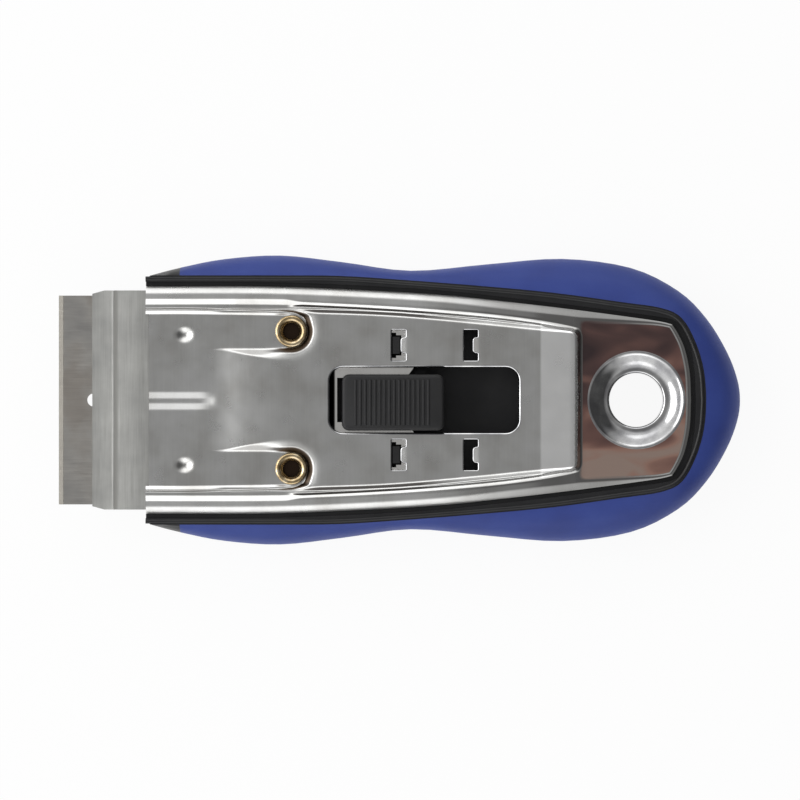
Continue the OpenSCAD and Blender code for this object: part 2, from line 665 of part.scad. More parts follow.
// Ribs across the top of the button
rib_step = 0.83;
rib_start = 2.5;
rib_end = 2.8;
rib_count = floor((button_len - rib_start - rib_end) / rib_step);
rib_h = 0.25;
rib_side = 0.9;
rib_foot_share = 0.6;
rib_top_shares = [0.1, 0.5];
cap_slope = (cap_rear_h - cap_front_h) / (button_len - cap_lean - 2 * cap_round);
function cap_top(x) = cap_z + cap_front_h + cap_slope * (x - cap_x - cap_round);
hub_t = 1;
hub_top = tail_z - run_gap;
hub_z = hub_top - hub_t;
hub_lead = 2.3;
hub_x = cap_x + hub_lead;
hub_short = 5.6;
hub_len = button_len - hub_short;
hub_over = 2.2;
hub_w = 2 * (stem_half + hub_over);
arm_lead = 1.4;
arm_x = lug_x - arm_lead;
arm_len = 4.5;
arm_over = 0.5;
arm_w = 2 * (window_y + lug_w / 2 + arm_over);
lug_top = plateau_z - sink;
tenon_lead = 2;
tenon_x = hub_x + tenon_lead;
tenon_len = hub_len - 2 * tenon_lead;
tenon_w = 4;
module thumb_button() {
    color("#262628") translate([0, -button_play, 0]) {
        hull($fn = 32) {
            for (side = [-1, 1]) {
                translate([cap_x + cap_corner, side * (button_w / 2 - cap_corner), cap_z])
                    cylinder(r = cap_corner, h = cap_brim);
                translate([cap_x + button_len - cap_corner, side * (button_w / 2 - cap_corner), cap_z])
                    cylinder(r = cap_corner, h = cap_brim);
                translate([cap_x + cap_corner, side * (button_w / 2 - cap_corner), cap_z + cap_front_h - cap_round])
                    sphere(cap_round);
                translate([cap_x + button_len - cap_lean - cap_round,
                    side * (button_w / 2 - cap_round - sink), cap_z + cap_rear_h - cap_round]) sphere(cap_round);
            }
        }
        for (i = [0 : rib_count - 1]) let (x = cap_x + rib_start + i * rib_step)
            across(button_w - 2 * rib_side) polygon([[x, cap_top(x) - cap_round],
                [x + rib_step * rib_foot_share, cap_top(x) - cap_round],
                [x + rib_step * rib_top_shares[1], cap_top(x) + rib_h],
                [x + rib_step * rib_top_shares[0], cap_top(x) + rib_h]]);
        translate([stem_x, -stem_half, hub_top + seat_gap])
            cube([stem_len, 2 * stem_half, cap_z + cap_brim - hub_top]);
        translate([tenon_x, -tenon_w / 2, hub_z]) cube([tenon_len, tenon_w, hub_t + cap_brim]);
    }
}

module latch_arms() {
    color("#3a3a3c") difference() {
        union() {
            translate([hub_x, -hub_w / 2, hub_z]) cube([hub_len, hub_w, hub_t]);
            translate([arm_x, -arm_w / 2, hub_z]) cube([arm_len, arm_w, hub_t]);
            for (side = [-1, 1]) translate([lug_x, side * window_y - lug_w / 2, hub_z])
                cube([lug_len, lug_w, lug_top - hub_z]);
        }
        translate([tenon_x - seat_gap, -button_play - tenon_w / 2 - seat_gap, hub_z - cut])
            cube([tenon_len + 2 * seat_gap, tenon_w + 2 * seat_gap, hub_t + 2 * cut]);
    }
}

// Bowed leaf spring between the floor and the hub
spring_t = 0.3;
spring_w = 5;
spring_len = 14;
spring_rise = hub_z - floor_z - 2 * seat_gap - spring_t;
spring_r = cap_r(spring_len / 2, spring_rise);
module return_spring() {
    color("#8f9296") translate([hub_x + hub_len / 2, 0, floor_z + seat_gap + spring_rise - spring_r])
        rotate([90, 0, 0]) translate([0, 0, -spring_w / 2]) linear_extrude(spring_w) intersection() {
            difference() {
                circle(spring_r + spring_t);
                circle(spring_r);
            }
            translate([-spring_len / 2, spring_r - spring_rise]) square([spring_len, spring_rise + spring_t]);
        }
}

handle_shell();
soft_grip();
top_plate();
upper_jaw();
lower_jaw();
rivet_left();
rivet_right();
blade_carrier();
blade_clip();
clip_rivets();
razor_blade();
blade_spine();
thumb_button();
latch_arms();
return_spring();
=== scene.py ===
# %% [markdown]
# # A razor blade scraper with a soft grip
# The tool is a stamped steel plate let into a black plastic handle, with a blue
# rubber skin round it and a single-edge blade that slides out of the front.
# The exact solids come from the CAD frame, and this lesson dresses them.
# Lengths are in millimetres until a piece is finished, and metres after that.

# %% Load the frame
import math

import bmesh
import bpy
from mathutils import Matrix, Vector


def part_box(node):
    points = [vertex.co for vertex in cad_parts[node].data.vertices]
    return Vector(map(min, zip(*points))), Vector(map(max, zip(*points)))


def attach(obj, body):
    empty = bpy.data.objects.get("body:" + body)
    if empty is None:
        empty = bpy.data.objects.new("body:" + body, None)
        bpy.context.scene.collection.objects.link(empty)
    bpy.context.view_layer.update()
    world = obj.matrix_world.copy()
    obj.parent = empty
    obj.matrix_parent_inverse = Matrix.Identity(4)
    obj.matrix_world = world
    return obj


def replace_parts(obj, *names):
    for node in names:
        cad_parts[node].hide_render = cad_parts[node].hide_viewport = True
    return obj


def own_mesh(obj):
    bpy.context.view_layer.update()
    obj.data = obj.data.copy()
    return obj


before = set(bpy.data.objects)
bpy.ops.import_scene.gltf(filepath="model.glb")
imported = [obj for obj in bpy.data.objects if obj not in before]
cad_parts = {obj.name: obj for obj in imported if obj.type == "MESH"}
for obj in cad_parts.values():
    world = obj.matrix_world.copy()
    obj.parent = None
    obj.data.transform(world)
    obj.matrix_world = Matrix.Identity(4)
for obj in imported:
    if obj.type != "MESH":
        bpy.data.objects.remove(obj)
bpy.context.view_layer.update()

MM = 0.001

# %% [markdown]
# ## Helpers
# A hex colour says how a paint chip looks, and a shader wants how much light it
# sends back, so one function turns the first into the second. One more function
# adds a node with its settings, and fills or links its inputs. An input goes by
# its name, or by its place among those in use where several share a name.

# %% Colours and nodes
BLACK, WHITE = (0, 0, 0, 1), (1, 1, 1, 1)


def linear(colour):
    """sRGB hex to the linear colour that a node holds. Any other value stays as it is."""
    if not isinstance(colour, str):
        return colour
    parts = [int(colour[i:i + 2], 16) / 255 for i in (1, 3, 5)]
    return [*(c / 12.92 if c <= 0.04045 else ((c + 0.055) / 1.055) ** 2.4 for c in parts), 1.0]


def fill(node, inputs):
    """Sets a node's inputs, or links them where the value is a node or a socket."""
    live = [socket for socket in node.inputs if socket.enabled]
    for key, value in inputs.items():
        socket = live[key] if isinstance(key, int) else next(s for s in live if s.name == key)
        if isinstance(value, bpy.types.Node):
            value = next(s for s in value.outputs if s.enabled)
        if isinstance(value, bpy.types.NodeSocket):
            node.id_data.links.new(value, socket)
        else:
            socket.default_value = linear(value)
    return node


def add(tree, kind, inputs=None, **settings):
    """Adds a shader node with its settings, then fills its inputs."""
    node = tree.nodes.new("ShaderNode" + kind)
    for name, value in settings.items():
        if name == "stops":
            ramp = node.color_ramp.elements
            while len(ramp) < len(value):
                ramp.new(0.5)
            for stop, (place, colour) in zip(ramp, value):
                stop.position, stop.color = place, linear(colour)
        else:
            setattr(node, name, value)
    return fill(node, inputs or {})


def new_material(name, **sockets):
    """A material, its shader with the given sockets set, and the place on the object."""
    material = bpy.data.materials.new(name)
    material.use_nodes = True
    tree = material.node_tree
    surface = tree.nodes["Principled BSDF"]
    fill(surface, {socket.replace("_", " "): value for socket, value in sockets.items()})
    place = add(tree, "TexCoord").outputs["Object"]
    return material, tree, surface, place


print("mid grey is", [round(c, 3) for c in linear("#8f8f8e")[:3]])

# %% [markdown]
# ## Patterns by real size
# Cold rolling draws very fine streaks across a sheet, handling leaves cloudy
# patches, and a mould leaves pebbles. Even noise makes patches, and noise drawn
# out along one axis makes streaks, so one function takes the real sizes. The
# plate's streaks are 0.35 mm wide and 12 mm long, coarser than the real ones,
# which a render would lose. Masks are slopes between two places in millimetres.

# %% Patches, streaks and places
PLATE_STREAKS, SHEET_STREAKS, GRINDING = (0.35, 12, 0.35), (0.22, 9, 0.22), (5, 0.25, 0.25)


def patches(tree, place, size, detail=3.0, roughness=0.5, turn=0.0, distortion=0.0):
    """Noise with patches of one size, or of three sizes along X, Y and Z, in millimetres."""
    sizes = size if isinstance(size, tuple) else (size, size, size)
    scaled = add(tree, "Mapping", {
        "Vector": place, "Scale": [1 / (s * MM) for s in sizes], "Rotation": (0, 0, turn)})
    return add(tree, "TexNoise", {"Vector": scaled, "Scale": 1.0, "Detail": detail,
                                  "Roughness": roughness, "Distortion": distortion})


def streaks(tree, place, sizes):
    """Rolling or grinding lines: patches drawn out along one axis."""
    return patches(tree, place, sizes, detail=2.0, roughness=0.55)


def slope(value, start, end, low=0.0, high=1.0):
    """Inputs of a Map Range node that gives low at the start and high at the end."""
    return {"Value": value, "From Min": start, "From Max": end, "To Min": low, "To Max": high}


def millimetres(tree, place, front=0.0):
    """Sockets X, Y and Z in millimetres, with X measured from a front."""
    scaled = add(tree, "Mapping", {
        "Vector": place, "Location": (-front, 0, 0), "Scale": 3 * [1 / MM]})
    return add(tree, "SeparateXYZ", {"Vector": scaled}).outputs


print("scales of the plate's streaks, per metre:", [round(1 / (s * MM)) for s in PLATE_STREAKS])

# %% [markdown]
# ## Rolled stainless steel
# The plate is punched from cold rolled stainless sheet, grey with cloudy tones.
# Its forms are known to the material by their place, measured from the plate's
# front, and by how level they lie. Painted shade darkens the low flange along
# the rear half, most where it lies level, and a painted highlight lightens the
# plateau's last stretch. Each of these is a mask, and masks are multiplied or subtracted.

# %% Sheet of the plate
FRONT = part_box("top_plate")[0].x / MM
PLATEAU_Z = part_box("top_plate")[1].z / MM
FLANGE_Z = PLATEAU_Z - 1.7
PLATEAU_END = 78.6
REAR_HALF, HIGHLIGHT_STRETCH = (50, 62), (PLATEAU_END - 7, PLATEAU_END - 6.6)
LOW_LYING = (FLANGE_Z + 0.35, FLANGE_Z + 0.2)
LEVEL = (0.982, 0.996)

plate_steel, tree, surface, place = new_material("rolled_stainless", Metallic=1.0)
along, across, height = millimetres(tree, place, FRONT)
flat = add(tree, "SeparateXYZ", {
    "Vector": add(tree, "NewGeometry").outputs["Normal"]}).outputs["Z"]
rolled = streaks(tree, place, PLATE_STREAKS)
tones = add(tree, "ValToRGB", {"Fac": patches(tree, place, 7)}, stops=[
    (0.3, "#bcbbb8"), (0.5, "#c9c9c7"), (0.7, "#d1d1d0")])
toned = add(tree, "Mix", {"Factor": 0.08, "A": tones, "B": rolled},
            data_type="RGBA", blend_type="OVERLAY")
rear_half = add(tree, "MapRange", slope(along, *REAR_HALF))
low_lying = add(tree, "MapRange", slope(height, *LOW_LYING))
# Painted shade: the low flange along the rear half is darkened, most where it lies level.
level_weight = add(tree, "MapRange", slope(flat, *LEVEL, low=0.4))
low_rear = add(tree, "Math", {0: rear_half, 1: low_lying}, operation="MULTIPLY")
painted_shade = add(tree, "Math", {0: low_rear, 1: level_weight}, operation="MULTIPLY")
flange_shaded = add(tree, "Mix", {"Factor": painted_shade, "A": toned, "B": "#858483"}, data_type="RGBA")
# Painted highlight: the plateau's last stretch is lightened towards white.
highlight_stretch = add(tree, "MapRange", slope(along, *HIGHLIGHT_STRETCH))
topmost = add(tree, "Math", {0: highlight_stretch, 1: low_lying}, operation="SUBTRACT", use_clamp=True)
bright = add(tree, "Mix", {"Factor": topmost, "A": flange_shaded, "B": "#f4f4f3"}, data_type="RGBA")
print("plate's front, plateau and flange, mm:", FRONT, PLATEAU_Z, round(FLANGE_Z, 2))

# %% [markdown]
# ## Painted reflection behind the plateau
# The die has burnished the sheet behind the plateau: it is smoother there, and
# brown drifts are painted on it as the reflection of something warm. The drifts
# are a slanting, distorted noise, stronger towards one side, read by a colour
# ramp. They stop at a ragged line, and only cover the level floor that the die has sunk a little.

# %% Painted reflection
DRIFTS, RAGS = (13.33, 5.88, 13.33), 4
FAINT_SIDE, STRONG_SIDE = 4, -11
REFLECTION_EDGE = (PLATEAU_END - 2.2, PLATEAU_END - 0.8)
SUNKEN = (FLANGE_Z - 0.005, FLANGE_Z - 0.04)

swirl = patches(tree, place, DRIFTS, detail=1.5, turn=0.9, distortion=0.8)
towards_strong_side = add(tree, "MapRange", slope(across, FAINT_SIDE, STRONG_SIDE, -0.06, 0.27))
drift_strength = add(tree, "Math", {0: swirl, 1: towards_strong_side}, operation="ADD")
# Painted reflection: brown drifts stand in for something warm that the smooth sheet reflects.
painted_reflection = add(tree, "ValToRGB", {"Fac": drift_strength}, stops=[
    (0.3, "#5c4e4f"), (0.44, "#7c6360"), (0.56, "#a37d74"),
    (0.68, "#d3a898"), (0.8, "#d3b9ac")])
ragged = add(tree, "Math", {0: patches(tree, place, RAGS), 1: -3, 2: along},
             operation="MULTIPLY_ADD")
behind = add(tree, "MapRange", slope(ragged, *REFLECTION_EDGE))
sunken = add(tree, "MapRange", slope(height, *SUNKEN))
level = add(tree, "MapRange", slope(flat, *LEVEL))
sunk_and_level = add(tree, "Math", {0: level, 1: sunken}, operation="MULTIPLY")
rear = add(tree, "Math", {0: behind, 1: sunk_and_level}, operation="MULTIPLY")
with_reflection = add(tree, "Mix", {"Factor": rear, "A": bright, "B": painted_reflection}, data_type="RGBA")
print("the film starts", round(FRONT + PLATEAU_END, 2), "mm along the tool")

# %% [markdown]
# ## Painted shade in the bends
# The steepest walls of the front half get a thin dark line of painted shade,
# and a brown ring of painted shade and reflection lies round the rivets.
# The height of the face's normal tells how steep a wall is. The two rivets are
# one mask, because the distance is taken after the sides are folded together.

# %% Painted shade, gloss and relief
RIVET, RIVET_SHADE_RING = (26.5, 12.5), (4.4, 3.7)
LEANING, STEEP = (0.96, 0.88), (0.88, 0.81)

steep = add(tree, "MapRange", slope(flat, *STEEP))
in_walls = add(tree, "Math", {0: steep, 1: rear_half}, operation="SUBTRACT", use_clamp=True)
# Painted shade: a thin dark line along the steepest walls of the front half.
wall_shaded = add(tree, "Mix", {"Factor": in_walls, "A": with_reflection, "B": "#5b5856"}, data_type="RGBA")
folded = add(tree, "Math", {0: across}, operation="ABSOLUTE")
from_rivet = add(tree, "VectorMath", {
    0: add(tree, "CombineXYZ", {"X": along, "Y": folded}), 1: (*RIVET, 0)}, operation="DISTANCE")
close_by = add(tree, "MapRange", slope(from_rivet, *RIVET_SHADE_RING))
leaning = add(tree, "MapRange", slope(flat, *LEANING))
rivet_shade = add(tree, "Math", {0: close_by, 1: leaning}, operation="MULTIPLY")
# Painted shade and reflection: a brown ring on the leaning walls round each rivet.
rivet_shaded = add(tree, "Mix", {"Factor": rivet_shade, "A": wall_shaded, "B": "#473d34"}, data_type="RGBA")
worn = add(tree, "MapRange", {"Value": patches(tree, place, 3), "To Min": 0.24, "To Max": 0.34})
gloss = add(tree, "Mix", {"Factor": behind, "A": worn, "B": 0.12})
relief = add(tree, "Bump", {"Height": rolled, "Strength": 0.05, "Distance": 0.02 * MM})
fill(surface, {"Base Color": rivet_shaded, "Roughness": gloss, "Normal": relief})
print(plate_steel.name, "has", len(tree.nodes), "nodes")

# %% [markdown]
# ## Dish, jaws and carrier
# The dish round the hanging hole is the same sheet, polished by the punch. The
# jaws and the blade carrier are duller sheet with clear rolling lines across
# them. A band of painted shade lies along the bend of the upper jaw, and a
# painted shadow darkens the carrier's front, where the plate covers it. One
# function makes all the dull sheets, and these two get one more colour where the painted shade lies.

# %% Polished and dull sheet
BEND_SHADE_BAND, SHADOW_EDGE = (3.85, 4.85), (34.5, 34.3)

dish_steel, tree, surface, place = new_material("punched_stainless", Metallic=1.0)
tones = add(tree, "ValToRGB", {"Fac": patches(tree, place, 3.5)}, stops=[
    (0.36, "#a0a0a2"), (0.64, "#cbcbcb")])
gloss = add(tree, "MapRange", {"Value": patches(tree, place, 2.5), "To Min": 0.07, "To Max": 0.17})
fill(surface, {"Base Color": tones, "Roughness": gloss})


def dull_sheet(name, dark, pale, rough):
    """Rolled sheet with fine lines across the tool, and cloudy handling marks."""
    material, tree, surface, place = new_material(name, Metallic=1.0)
    lines = streaks(tree, place, SHEET_STREAKS)
    clouds = add(tree, "ValToRGB", {"Fac": patches(tree, place, 5)},
                 stops=[(0.3, dark), (0.7, pale)])
    lined = add(tree, "Mix", {"Factor": 0.16, "A": clouds, "B": lines},
                data_type="RGBA", blend_type="OVERLAY")
    gloss = add(tree, "MapRange", {"Value": lines, "To Min": rough - 0.05, "To Max": rough + 0.05})
    relief = add(tree, "Bump", {"Height": lines, "Strength": 0.08, "Distance": 0.02 * MM})
    fill(surface, {"Base Color": lined, "Roughness": gloss, "Normal": relief})
    return material, tree, lined, surface, place


# A darker copy of the dull sheet, as painted shade, for the lower jaw, the blade's clip and its spine.
shade_steel = dull_sheet("shaded_rolled_steel", "#8d8b87", "#aaa9a5", 0.38)[0]
jaw_steel, tree, lined, surface, place = dull_sheet(
    "dull_rolled_steel", "#b5b5b2", "#c7c7c3", 0.38)
along = millimetres(tree, place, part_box("upper_jaw")[0].x / MM)["X"]
# Painted shade: a darker band along the crease of the upper jaw's lip.
over_bend = add(tree, "MapRange", slope(along, *BEND_SHADE_BAND))
bend_shade = add(tree, "ValToRGB", {"Fac": over_bend}, stops=[
    (0.0, BLACK), (0.2, WHITE), (0.6, (0.8, 0.8, 0.8, 1)), (1.0, BLACK)])
bend_shaded = add(tree, "Mix", {"Factor": bend_shade, "A": lined, "B": "#a09f9b"}, data_type="RGBA")
fill(surface, {"Base Color": bend_shaded})

# The carrier's near white base is painted lighter to make up for the shade it lies in, down the slot.
carrier_steel, tree, lined, surface, place = dull_sheet(
    "bright_rolled_steel", "#f4f2ee", "#fcfbf8", 0.17)
along = millimetres(tree, place, FRONT)["X"]
# Painted shadow: the carrier's front, under the plate's edge, is darkened.
in_shadow = add(tree, "MapRange", slope(along, *SHADOW_EDGE))
shadowed = add(tree, "Mix", {"Factor": in_shadow, "A": lined, "B": "#3a3836"}, data_type="RGBA")
fill(surface, {"Base Color": shadowed})
print("sheets:", [m.name for m in (dish_steel, shade_steel, jaw_steel, carrier_steel)])

# %% [markdown]
# ## The blade
# The blade is carbon steel, ground on its faces with lines that run along the
# tool. It has a brown cloud of old oil and a pale strip where the edge was honed.

# %% Ground steel
HONED = (0.95, 0.8)

blade_steel, tree, surface, place = new_material("ground_carbon_steel", Metallic=1.0)
along = millimetres(tree, place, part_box("razor_blade")[0].x / MM)["X"]
ground = streaks(tree, place, GRINDING)
oil = add(tree, "ValToRGB", {"Fac": patches(tree, place, 8)}, stops=[
    (0.32, "#aeaca9"), (0.5, "#bcb9b4"), (0.66, "#b1aba4")])
faced = add(tree, "Mix", {"Factor": 0.1, "A": oil, "B": ground},
            data_type="RGBA", blend_type="OVERLAY")
honed = add(tree, "MapRange", slope(along, *HONED))
edged = add(tree, "Mix", {"Factor": honed, "A": faced, "B": "#a9a59d"}, data_type="RGBA")
gloss = add(tree, "MapRange", {"Value": ground, "To Min": 0.24, "To Max": 0.4})
fill(surface, {"Base Color": edged, "Roughness": gloss})

# %% [markdown]
# ## Brass
# The rivets are rolled from thin brass tube. Rolling polishes the crown, the
# metal has tarnished a little towards brown in patches of about a millimetre,
# and painted shade darkens it down in the bore.

# %% Rolled brass
crown_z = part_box("rivet_left")[1].z / MM
BORE = (crown_z - 0.5, crown_z - 1.7)

brass, tree, surface, place = new_material("rolled_brass", Metallic=1.0)
tarnish = add(tree, "ValToRGB", {"Fac": patches(tree, place, 1.2)}, stops=[
    (0.3, "#8d7a5b"), (0.5, "#b39e7a"), (0.7, "#dacaac")])
# Painted shade: the brass gets darker down the bore.
down_bore = add(tree, "MapRange", slope(millimetres(tree, place)["Z"], *BORE))
bore_shaded = add(tree, "Mix", {"Factor": down_bore, "A": tarnish, "B": "#40332a"}, data_type="RGBA")
gloss = add(tree, "MapRange", {"Value": patches(tree, place, 0.8), "To Min": 0.2, "To Max": 0.34})
fill(surface, {"Base Color": bore_shaded, "Roughness": gloss})
print("rivets' crown, mm:", round(crown_z, 2))

# %% [markdown]
# ## Plastics and rubber
# The handle and the button are injection moulded black plastic. A mould that was
# spark eroded leaves a fine pebbled grain, drawn here with bump at 0.45 mm on the
# handle and 0.3 mm on the button. The skin is thermoplastic rubber: satin, with a
# soft sheen where it turns away, and it holds a little lint and dust.

# %% Moulded black plastic and blue rubber
def moulded(name, dark, pale, rough, grain):
    """Black plastic with the grain of its mould, in millimetres."""
    material, tree, surface, place = new_material(name, IOR=1.49, Specular_IOR_Level=0.38)
    pebbles = patches(tree, place, grain, detail=4.0)
    tone = add(tree, "ValToRGB", {"Fac": patches(tree, place, 5)},
               stops=[(0.35, dark), (0.7, pale)])
    gloss = add(tree, "MapRange", {"Value": pebbles, "To Min": rough - 0.07, "To Max": rough + 0.07})
    relief = add(tree, "Bump", {"Height": pebbles, "Strength": 0.35, "Distance": 0.03 * MM})
    fill(surface, {"Base Color": tone, "Roughness": gloss, "Normal": relief})
    return material


shell_plastic = moulded("moulded_black_plastic", "#151517", "#1f1f20", 0.42, 0.45)
button_plastic = moulded("moulded_button_plastic", "#111112", "#161617", 0.56, 0.3)

blue_rubber, tree, surface, place = new_material(
    "blue_thermoplastic_rubber", IOR=1.5, Sheen_Weight=0.12, Sheen_Roughness=0.45,
    Sheen_Tint="#8f9de0")
skin = add(tree, "ValToRGB", {"Fac": patches(tree, place, 9)}, stops=[
    (0.3, "#243780"), (0.5, "#283d89"), (0.72, "#2e438f")])
specks = add(tree, "TexVoronoi", {"Vector": place, "Scale": 1 / (2.6 * MM)})
dust = add(tree, "ValToRGB", {"Fac": specks}, stops=[(0.0, WHITE), (0.045, BLACK)])
dusted = add(tree, "Mix", {"Factor": dust, "A": skin, "B": "#27306a"}, data_type="RGBA")
grain = patches(tree, place, 0.5, detail=4.0)
gloss = add(tree, "MapRange", {"Value": grain, "To Min": 0.5, "To Max": 0.64})
relief = add(tree, "Bump", {"Height": grain, "Strength": 0.25, "Distance": 0.03 * MM})
fill(surface, {"Base Color": dusted, "Roughness": gloss, "Normal": relief})
print("materials:", sorted(m.name for m in bpy.data.materials))

# %% [markdown]
# ## Outlines
# The handle, its rim and the plate have long, slowly curving sides. Each outline
# is a few stations of place along the handle and half width, and a smooth curve
# runs through them. Places are measured from the handle's front corners.

# %% Smooth outlines
HALF_WIDTH = 20.7
CORNER_V, CORNER_Y = 95.73, 13.77
PLATE = [(0, HALF_WIDTH), (19.84, HALF_WIDTH), (34.72, 20.24), (52.58, 19.25), (65.47, 17.91),
         (79.36, 16.25), (92.26, 14.49), (CORNER_V, CORNER_Y)]
PLATE_REAR = [(0, 99.2), (5, 98.95), (9.3, 98.05), (12, 96.85), (CORNER_Y, CORNER_V)]
RAIL = [(0, 18.0), (19.6, 18.0), (29.9, 17.76), (46.4, 16.9), (61.3, 15.73),
        (70.7, 14.6), (76.2, 13.66), (PLATEAU_END, 13.1)]
STEP = [(0, 15.9), (9.8, 15.9), (32.2, 15.5), (46.4, 14.9), (61.3, 13.56),
        (70.7, 12.6), (76.2, 12.2), (77.7, 11.95), (PLATEAU_END, 11.3)]


def smooth_line(points, steps=8):
    """Points of a smooth curve through the stations."""
    line = [Vector(p) for p in points]
    ends = [2 * line[0] - line[1], *line, 2 * line[-1] - line[-2]]
    made = []
    for a, b, c, d in zip(ends, ends[1:], ends[2:], ends[3:]):
        for k in range(steps):
            t = k / steps
            made.append((2 * b + (c - a) * t + (2 * a - 5 * b + 4 * c - d) * t ** 2
                         + (3 * b - a - 3 * c + d) * t ** 3) / 2)
    return [*made, line[-1]]


def reader(points):
    """A function that reads the smooth curve at a place."""
    line = smooth_line(points)

    def read(place):
        for a, b in zip(line, line[1:]):
            if place <= b.x:
                return a.y + (b.y - a.y) * (max(place, a.x) - a.x) / (b.x - a.x)
        return line[-1].y
    return read


plate_side, plate_back, rail_side, step_side = map(reader, (PLATE, PLATE_REAR, RAIL, STEP))
print("plate's half width at the front, middle and rear:",
      [round(plate_side(v), 2) for v in (0, 50, CORNER_V)])

# %% [markdown]
# ## Bends of the stamped plate
# One die gives this sheet all its forms. Sheet metal has no sharp steps, so each
# form is a height with soft slopes. Three small functions draw every bend: a soft
# S, a straight slope with rounded ends, and a rounded lesser of two heights.

# %% Soft slopes
def ease(value, start, end):
    """0 before start, 1 past end, and a soft S between them."""
    t = min(max((value - start) / (end - start), 0), 1)
    return t * t * (3 - 2 * t)


def slant(value, start, end, foot=0.25, crest=0.25):
    """0 before start, 1 past end, and a straight slope whose foot and crest shares are round."""
    t = min(max((value - start) / (end - start), 0), 1)
    steep = 1 / (1 - foot / 2 - crest / 2)
    if t < foot:
        return steep * t * t / (2 * foot)
    if t > 1 - crest:
        return 1 - steep * (1 - t) ** 2 / (2 * crest)
    return steep * (t - foot / 2)


def lesser(a, b, blend):
    """The lesser of two heights, rounded where they cross."""
    share = min(max(0.5 + 0.5 * (b - a) / max(blend, 1e-6), 0), 1)
    return max(b + (a - b) * share - blend * share * (1 - share), 0)


print("a slope at its quarters:", [round(slant(t, 0, 4), 3) for t in range(5)])

# %% [markdown]
# ## Flange, rail and gutter
# From its edge inwards, the sheet has a flange, a rail that bends up from it, and
# in front a thin gutter between rail and pad. Each form is a function of the
# place along the plate (v) and the distance from its middle (side). A pair of
# values says where a slope starts and ends.

# %% Outer forms
PAD_Z = PLATEAU_Z - 1.1
RAIL_Z = PAD_Z + 0.4
SHEET_T = 0.8
LEDGE_Z = FLANGE_Z - SHEET_T
FLANGE_RISE, FLANGE_TOP, FLANGE_FADE = 0.15, (1.2, 2.6), (77, 69)
RAIL_END = (PLATEAU_END + 0.5, PLATEAU_END - 0.5)
GUTTER_DEEP, GUTTER_IN, GUTTER_OUT = 0.35, (-0.85, -0.45), (-0.4, 0.45)
POCKET_FLOOR, POCKET_SIDE = (5, 3.6), (-0.65, 0.45)
FRONT_ZONE = (RIVET[0] + 2.5, RIVET[0] - 1.5)


def outer_forms(v, side, edge, ring):
    """The sheet wherever the plateau isn't, where ring is the distance to a rivet."""
    front = ease(v, *FRONT_ZONE)
    above_pad = (RAIL_Z - PAD_Z) * (1 - front)
    in_rail, in_step = rail_side(v) - side, step_side(v) - side
    before_end = slant(v, *RAIL_END)
    foot, bend = 0.28 + 0.17 * front, 0.55 + 0.15 * front
    z = FLANGE_Z + FLANGE_RISE * slant(edge, *FLANGE_TOP) * slant(v, *FLANGE_FADE)
    z += before_end * foot * slant(in_rail, -0.05 - 0.4 * front, bend, 0.15, 0.05)
    z += (PAD_Z + above_pad - z) * before_end * slant(in_rail, bend - 0.05, bend + 0.4, 0.2, 0.2)
    z -= GUTTER_DEEP * front * slant(in_step, *GUTTER_IN) * slant(-in_step, *GUTTER_OUT, 0.15, 0.15)
    return z - above_pad * ease(ring, *POCKET_FLOOR) * slant(in_step, *POCKET_SIDE, 0.15, 0.15)


print("pad, rail and flange, mm:", round(PAD_Z, 2), round(RAIL_Z, 2), round(FLANGE_Z, 2))

# %% [markdown]
# ## Plateau, ramp and pockets
# The raised plateau comes down to the pad over one long ramp, and a pocket round
# each rivet is pressed into its flanks. Its share is 1 on top and 0 where it
# isn't. A pocket's wall is steep behind the rivet and lies back beside the ramp.

# %% Plateau
POCKET_R = 2.95
ROUND_WALL, ROUND_CREST, LONG_WALL = (POCKET_R, 4.15), (4, 5.8), (POCKET_R, 5.5)
CREST_SHARE = 0.22
RAMP, BESIDE = (10.8, 24.8), (RIVET[0] + 1, RIVET[0] - 5.5)
SIDE_WALL, REAR_WALL = (-1.0, 0.05), (PLATEAU_END + 0.65, PLATEAU_END - 0.6)
CLIMB, CLIMB_START, CLIMB_END = 0.03, PLATEAU_END - 6.9, PLATEAU_END - 1
FALL, FALL_START = 0.1, PLATEAU_END - 1.4


def plateau_share(v, side, ring):
    """1 on the plateau and 0 off it: a ramp in front, pocket walls, and side and rear walls."""
    round_wall = ((1 - CREST_SHARE) * slant(ring, *ROUND_WALL, 0.1, 0.3)
                  + CREST_SHARE * slant(ring, *ROUND_CREST, 0.2, 0.5))
    long_wall = slant(ring, *LONG_WALL, 0.15, 0.5)
    ramp = slant(v, *RAMP, 0.3, 0.6)
    pocket = round_wall + (long_wall - round_wall) * ease(v, *BESIDE)
    share = lesser(ramp, pocket, 0.2 * (1 - ramp)) * slant(step_side(v) - side, *SIDE_WALL, 0.1, 0.5)
    return share * slant(v, *REAR_WALL, 0.25, 0.5)


def plateau_top(v):
    """The plateau climbs a little towards its end, and falls over the last millimetre."""
    climb = max(min(v, CLIMB_END) - CLIMB_START, 0)
    return PLATEAU_Z + CLIMB * climb - FALL * max(v - FALL_START, 0)


print("share of the plateau down the middle:", [round(plateau_share(v, 0, 9), 2) for v in (10, 18, 26)])

# %% [markdown]
# ## Dimples, bead, tongues and edge
# Two dimples and a bead stiffen the front, and the tongue of each latch window is
# bent down. Round the dish the flange is sunk a little, and the whole edge of the
# sheet is rolled down, less so towards the rear.

